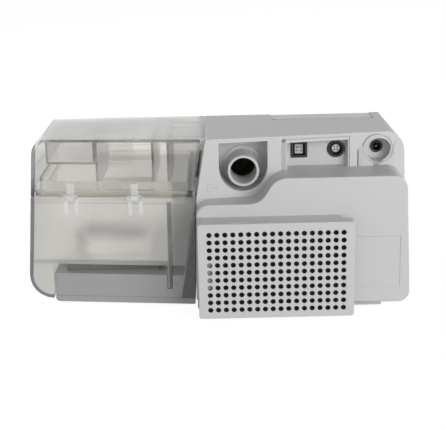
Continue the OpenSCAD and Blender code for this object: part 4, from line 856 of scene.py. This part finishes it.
rib = block("grip_unit", (-7, -0.35, -0.3), (7, 0.1, 0.3), control_grey, 0.12)
grips = set_out("release_grips", rib, [(button_mid.x, button_low.y, button_mid.z + grip_step * i)
                                       for i in (-1, 0, 1)], control_grey)
place(weighted(joined("release_button_piece", button, grips)), "release_button", "base_grey")

# The water chamber: a clear moulded tank with a lightly frosted wall, a pressed metal floor plate and
# two steel hinge pins. Its hinge lugs take a whiter, cloudier clear plastic as a painted highlight, a
# soft darker grey band lies on the rear wall, and painted shade marks where its walls end in that wall.


def mix_shaders(tree, share, first, second, output="Material Output"):
    """Puts out the first shader with the share of the second one."""
    mix = add_node(tree, "ShaderNodeMixShader", {0: share, 1: first, 2: second})
    tree.links.new(mix.outputs[0], tree.nodes[output].inputs["Surface"])


most_bounces, most_mirrorings = 5.5, 1.5


def clear_plastic(name, color, roughness, bend=1.2, clearness=1.0, painted_shading=None):
    """Clear moulded plastic; the colour is what one wall lets through, bend its refraction and the last
    argument a shader group that paints shade marks and a darker band into the colour. Light on its way
    to other things, or caught inside for more than so many bounces or mirrorings, goes straight
    through, tinted."""
    material, tree, shader = start_material(
        name, Base_Color=(*color, 1), IOR=bend, Transmission_Weight=clearness)
    where = add_node(tree, "ShaderNodeTexCoord").outputs["Object"]
    waves = add_node(tree, "ShaderNodeTexNoise", {"Vector": where, "Scale": 35.0, "Detail": 2.0})
    rough = add_node(tree, "ShaderNodeMapRange", {"Value": waves.outputs["Fac"], "To Min": roughness * 0.8,
                                                  "To Max": roughness * 1.2})
    tree.links.new(rough.outputs[0], shader.inputs["Roughness"])
    bump = add_node(tree, "ShaderNodeBump", {"Height": waves.outputs["Fac"], "Distance": 0.15 * MM})
    tree.links.new(bump.outputs[0], shader.inputs["Normal"])
    if painted_shading:
        shade_marks = add_node(tree, "ShaderNodeGroup", node_tree=painted_shading)
        shade_marks.inputs["Color"].default_value = (*color, 1)
        tree.links.new(shade_marks.outputs["Color"], shader.inputs["Base Color"])
    path = add_node(tree, "ShaderNodeLightPath")
    caught = math_node(tree, "GREATER_THAN", path.outputs["Ray Depth"], most_bounces)
    inside = math_node(tree, "GREATER_THAN", path.outputs["Glossy Depth"], most_mirrorings)
    shade = add_node(tree, "ShaderNodeMapRange", {"Value": inside, "To Min": 0.93, "To Max": 0.72})
    through = add_node(tree, "ShaderNodeBsdfTransparent", {"Color": shade.outputs[0]})
    lost = math_node(tree, "MAXIMUM", caught, inside)
    straight = math_node(tree, "MAXIMUM", path.outputs["Is Shadow Ray"], lost)
    mix_shaders(tree, straight, shader.outputs["BSDF"], through.outputs[0])
    return material


chamber_turn, chamber_depth = math.radians(-7.4), 56.1
tank_low, tank_high = (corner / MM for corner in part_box("water_tank"))
tank_corner, tank_wall, tank_lean, lug_low = 17.0, 2.6, 10 / 125, 66


def chamber_at(x):
    """Depth in mm of the chamber's rear wall at x in mm."""
    return chamber_depth + (x - joint_top) * math.tan(chamber_turn)


def make_tank_painted_shading():
    """Colour of the tank's wall: painted blue-grey shade where a wall, seen end on, ends in the rear face,
    painted shade on the side at the dock, and a soft darker grey band."""
    tree, given, result = new_group("tank_painted_shading", "ShaderNodeTree", {"Color": ("NodeSocketColor", None)},
                                    {"Color": "NodeSocketColor"})

    def calc(kind, *values):
        """The result of one calculation in this tree."""
        return math_node(tree, kind, *values)

    def step(value, start, end):
        """0 at the start and 1 at the end, and straight between them."""
        return add_node(tree, "ShaderNodeMapRange",
                        {"Value": value, "From Min": start, "From Max": end}).outputs[0]

    def between(value, limits, soft=0.4):
        """1 between the limits and 0 outside them, with soft ends."""
        low, high = limits
        return calc("MULTIPLY", step(value, low - soft, low + soft),
                    step(value, high + soft, high - soft))

    where = add_node(tree, "ShaderNodeTexCoord").outputs["Object"]
    in_mm = add_node(tree, "ShaderNodeVectorMath", {0: where, "Scale": 1 / MM}, operation="SCALE")
    axes = add_node(tree, "ShaderNodeSeparateXYZ", {"Vector": in_mm.outputs[0]})
    x, y, z = (axes.outputs[k] for k in range(3))

    # A soft darker grey band runs along under the rim and turns down at its outer end, with a ragged edge.
    band_x, band_z, drop_x, drop_z, ragged = (52, 98), (53, 61), (96, 101), (36, 58), 8.0
    blur = add_node(tree, "ShaderNodeTexNoise", {"Vector": where, "Scale": 90.0, "Detail": 2.0})
    shake = calc("MULTIPLY_ADD", blur.outputs["Fac"], ragged, -ragged / 2)
    shaken_x, shaken_z = calc("ADD", x, shake), calc("ADD", z, shake)
    along = calc("MULTIPLY", between(shaken_z, band_z, 5), between(shaken_x, band_x, 6))
    down = calc("MULTIPLY", between(shaken_z, drop_z, 5), between(shaken_x, drop_x, 5))
    dark = calc("MULTIPLY_ADD", calc("MAXIMUM", along, down), -0.34, 1.0)
    banded = add_node(tree, "ShaderNodeVectorMath",
                       {0: given.outputs["Color"], 1: dark}, operation="MULTIPLY")

    # The outer wall follows the tank's round lower corner and leans in above it; its end in the rear face
    # gets painted blue-grey shade.
    over = calc("SUBTRACT", z, tank_low.z + tank_corner)
    lean = calc("MULTIPLY", calc("MAXIMUM", over, 0.0), tank_lean)
    from_corner = calc("ADD", calc("SUBTRACT", x, tank_high.x - tank_corner), lean)
    out_x = calc("MAXIMUM", from_corner, 0.0)
    out_z = calc("MAXIMUM", calc("MULTIPLY", over, -1.0), 0.0)
    away = calc("SQRT", calc("ADD", calc("POWER", out_x, 2.0), calc("POWER", out_z, 2.0)))
    outer = step(away, tank_corner - tank_wall - 0.4, tank_corner - tank_wall)

    # The inner wall, the floor and the rim end in the rear face too and get the same painted shade, and the
    # side at the dock gets painted shade as well.
    inner_x, inner_top, dock_x = (32.5, 36), 80, 33
    floor_z, rim_z, lines_x = (31.4, 34.4), (77.4, 78.2), (36, 136)
    inner = calc("MULTIPLY", step(z, inner_top, inner_top - 1), 0.7)
    inner = calc("MULTIPLY", between(x, inner_x), inner)
    lines = calc("MAXIMUM", between(z, floor_z), between(z, rim_z, 0.2))
    lines = calc("MULTIPLY", calc("MULTIPLY", lines, between(x, lines_x)), 0.3)
    dock_side_shade = calc("MULTIPLY", step(x, dock_x, dock_x - 2), 0.4)
    ends = calc("MAXIMUM", calc("MAXIMUM", calc("MAXIMUM", outer, inner), lines), dock_side_shade)
    depth = calc("MULTIPLY_ADD", x, -math.tan(chamber_turn), y)
    rear = step(depth, chamber_at(0) - 3.2, chamber_at(0) - 2.8)
    # Painted shade: the wall ends and the dock side turn blue-grey on the rear face.
    mix = add_node(tree, "ShaderNodeMix", {0: calc("MULTIPLY", ends, rear), 6: banded.outputs[0],
                                           7: (0.16, 0.18, 0.20, 1)}, data_type="RGBA")
    tree.links.new(mix.outputs[2], result.inputs["Color"])
    return tree


def on_lug(at, normal):
    """Faces of the hinge lugs behind the chamber's rear wall."""
    return at.z > lug_low and at.y > chamber_at(at.x) + 0.25


# Painted blue-grey shade at the walls' ends and a darker grey band, for the clear plastic of the tank and
# the lid.
chamber_painted_shading = make_tank_painted_shading()
frosted = clear_plastic("tank_pc", (0.81, 0.80, 0.775), 0.34, bend=1.25, clearness=0.72, painted_shading=chamber_painted_shading)
# A whiter, cloudier clear plastic on the hinge lugs, as a painted highlight.
lug_painted_highlight = clear_plastic("lug_pc_painted_highlight", (0.93, 0.93, 0.93), 0.3, clearness=0.55)
tank = rounded_copy("water_tank", frosted, edge=0.4)
tinted(tank, lug_painted_highlight, on_lug)
place(weighted(tank), "water_tank", "clear")
soft_edged("tank_plate", aluminium, "aluminium", edge=0.5)
soft_edged("hinge_pins", steel, "steel", edge=0.15)

# The lid of the chamber: clear, rougher and cloudier on top with the top's darker tone painted shade, on
# two hinges, with a soft translucent seal in its rim that is pressed darker at both ends, a clear insert
# that leads the air and a latch at the front. Its lugs carry the painted highlight and its walls the
# chamber's painted shade. A stiffening rib stands inside its rear wall, and the duct's walls show as
# lines on its top.
lid_clear = clear_plastic("lid_pc", (0.85, 0.84, 0.82), 0.12, painted_shading=chamber_painted_shading)
# The top faces take a rougher, cloudier copy of the clear plastic; its darker tone there is painted shade.
lid_top_haze_and_shade = clear_plastic("lid_top_haze_and_shade", (0.84, 0.83, 0.815), 0.3, clearness=0.8)
rib_clear = clear_plastic("rib_pc", (0.74, 0.74, 0.71), 0.3, clearness=0.8)
lid = rounded_copy("tank_lid", lid_clear, edge=0.4)
tinted(lid, lug_painted_highlight, on_lug)
tinted(lid, lid_top_haze_and_shade, lambda at, normal: normal.z > 0.9)
rib_l, rib_r, rib_in, rib_w, rib_h, rib_z = 20.5, 130.5, 4.6, 0.8, 8.5, 88.6
rib = drawn("lid_rib", [[(x, chamber_at(x) - rib_in) for x in (rib_l, rib_r)]], rib_w, rib_h,
            at_mm(0, 0, rib_z), rib_clear)
lid_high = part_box("tank_lid")[1] / MM
lid_place = at_mm(0, lid_high.y, lid_high.z - 0.15) @ Matrix.Rotation(top_slope, 4, "X")
duct_far, duct_near, duct_front, duct_rear = 32.4, 12.0, -85, -13
duct_lines = [[(duct_far, duct_front), (duct_far, duct_rear)]]
duct_lines += [[(duct_near, v), (duct_far, v)] for v in (duct_front + 1, -58, duct_rear - 1)]
duct_marks = drawn("duct_marks", duct_lines, 0.5, 0.9, lid_place, rib_clear)
place(weighted(joined("tank_lid_piece", lid, rib, duct_marks)), "tank_lid", "clear")
insert_clear = clear_plastic("insert_pc", (0.86, 0.85, 0.84), 0.2, bend=1.1)
soft_edged("lid_baffle", insert_clear, "clear", edge=0.2)
silicone = clear_plastic("lid_silicone", (0.74, 0.69, 0.63), 0.3)
pressed_silicone = clear_plastic("pressed_silicone", (0.42, 0.34, 0.27), 0.3)
pressed_l, pressed_r = 43, 125
seal = rounded_copy("lid_seal", silicone, edge=0.3)
tinted(seal, pressed_silicone, lambda at, normal: not pressed_l <= at.x <= pressed_r)
place(weighted(seal), "lid_seal", "lid_rubber")
soft_edged("return_seal", rubber, "rubber", edge=0.2)
soft_edged("lid_latch", insert_clear, "clear", edge=0.3)

# Floor, lights and world. A white table under soft light that comes from the camera's side and a
# little from the outer side, as in the photograph; none of it belongs to the machine.
floor_mesh = bpy.data.meshes.new("floor_shape")
floor_half = 6.0
floor_mesh.from_pydata(
    [(-floor_half, -floor_half, 0), (floor_half, -floor_half, 0),
     (floor_half, floor_half, 0), (-floor_half, floor_half, 0)], [], [(0, 1, 2, 3)])
floor = bpy.data.objects.new("floor", floor_mesh)
bpy.context.scene.collection.objects.link(floor)


def seen_directly(tree):
    """1 on rays from the camera, or seen in gloss or through clear plastic, else 0."""
    path = add_node(tree, "ShaderNodeLightPath")
    first = math_node(tree, "MAXIMUM", path.outputs["Is Camera Ray"], path.outputs["Is Glossy Ray"])
    return math_node(tree, "MAXIMUM", first, path.outputs["Is Transmission Ray"])


floor_material, tree, shader = start_material("floor_paint", Roughness=0.9,
                                              Base_Color=(0.92, 0.92, 0.92, 1))
white = add_node(tree, "ShaderNodeEmission", {"Color": (1, 1, 1, 1), "Strength": 1.16})
white_share = math_node(tree, "MULTIPLY", seen_directly(tree), 0.8)
mix_shaders(tree, white_share, shader.outputs["BSDF"], white.outputs[0])
floor_mesh.materials.append(floor_material)

world = bpy.data.worlds.new("studio")
bpy.context.scene.world = world
world.use_nodes = True
tree = world.node_tree
tree.nodes.clear()
add_node(tree, "ShaderNodeOutputWorld")
sky = add_node(tree, "ShaderNodeTexCoord").outputs["Generated"]
height = add_node(tree, "ShaderNodeSeparateXYZ", {"Vector": sky})
fade = add_node(tree, "ShaderNodeMapRange", {"Value": height.outputs["Z"], "From Min": 0.1, "From Max": 0.9,
                                             "To Min": 0.72, "To Max": 0.12})
room = add_node(tree, "ShaderNodeBackground", {"Color": (1, 0.99, 0.975, 1), "Strength": fade.outputs[0]})
backdrop = add_node(tree, "ShaderNodeBackground", {"Color": (1, 1, 1, 1), "Strength": 1.0})
mix_shaders(tree, seen_directly(tree), room.outputs[0], backdrop.outputs[0], "World Output")

machine_middle = Vector((0, 0, 0.06))


def soft_lamp(name, where, power, size):
    """A square soft box that faces the machine's middle; its place and size in m, its power in W."""
    data = bpy.data.lights.new(name, "AREA")
    data.energy = power
    data.size = size
    lamp = bpy.data.objects.new(name, data)
    bpy.context.scene.collection.objects.link(lamp)
    lamp.location = where
    lamp.rotation_euler = (machine_middle - lamp.location).to_track_quat("-Z", "Y").to_euler()


soft_lamp("key_lamp", (-1.0, 1.5, 0.5), 17, 1.1)
soft_lamp("front_lamp", (0.9, -1.4, 0.8), 6, 1.2)
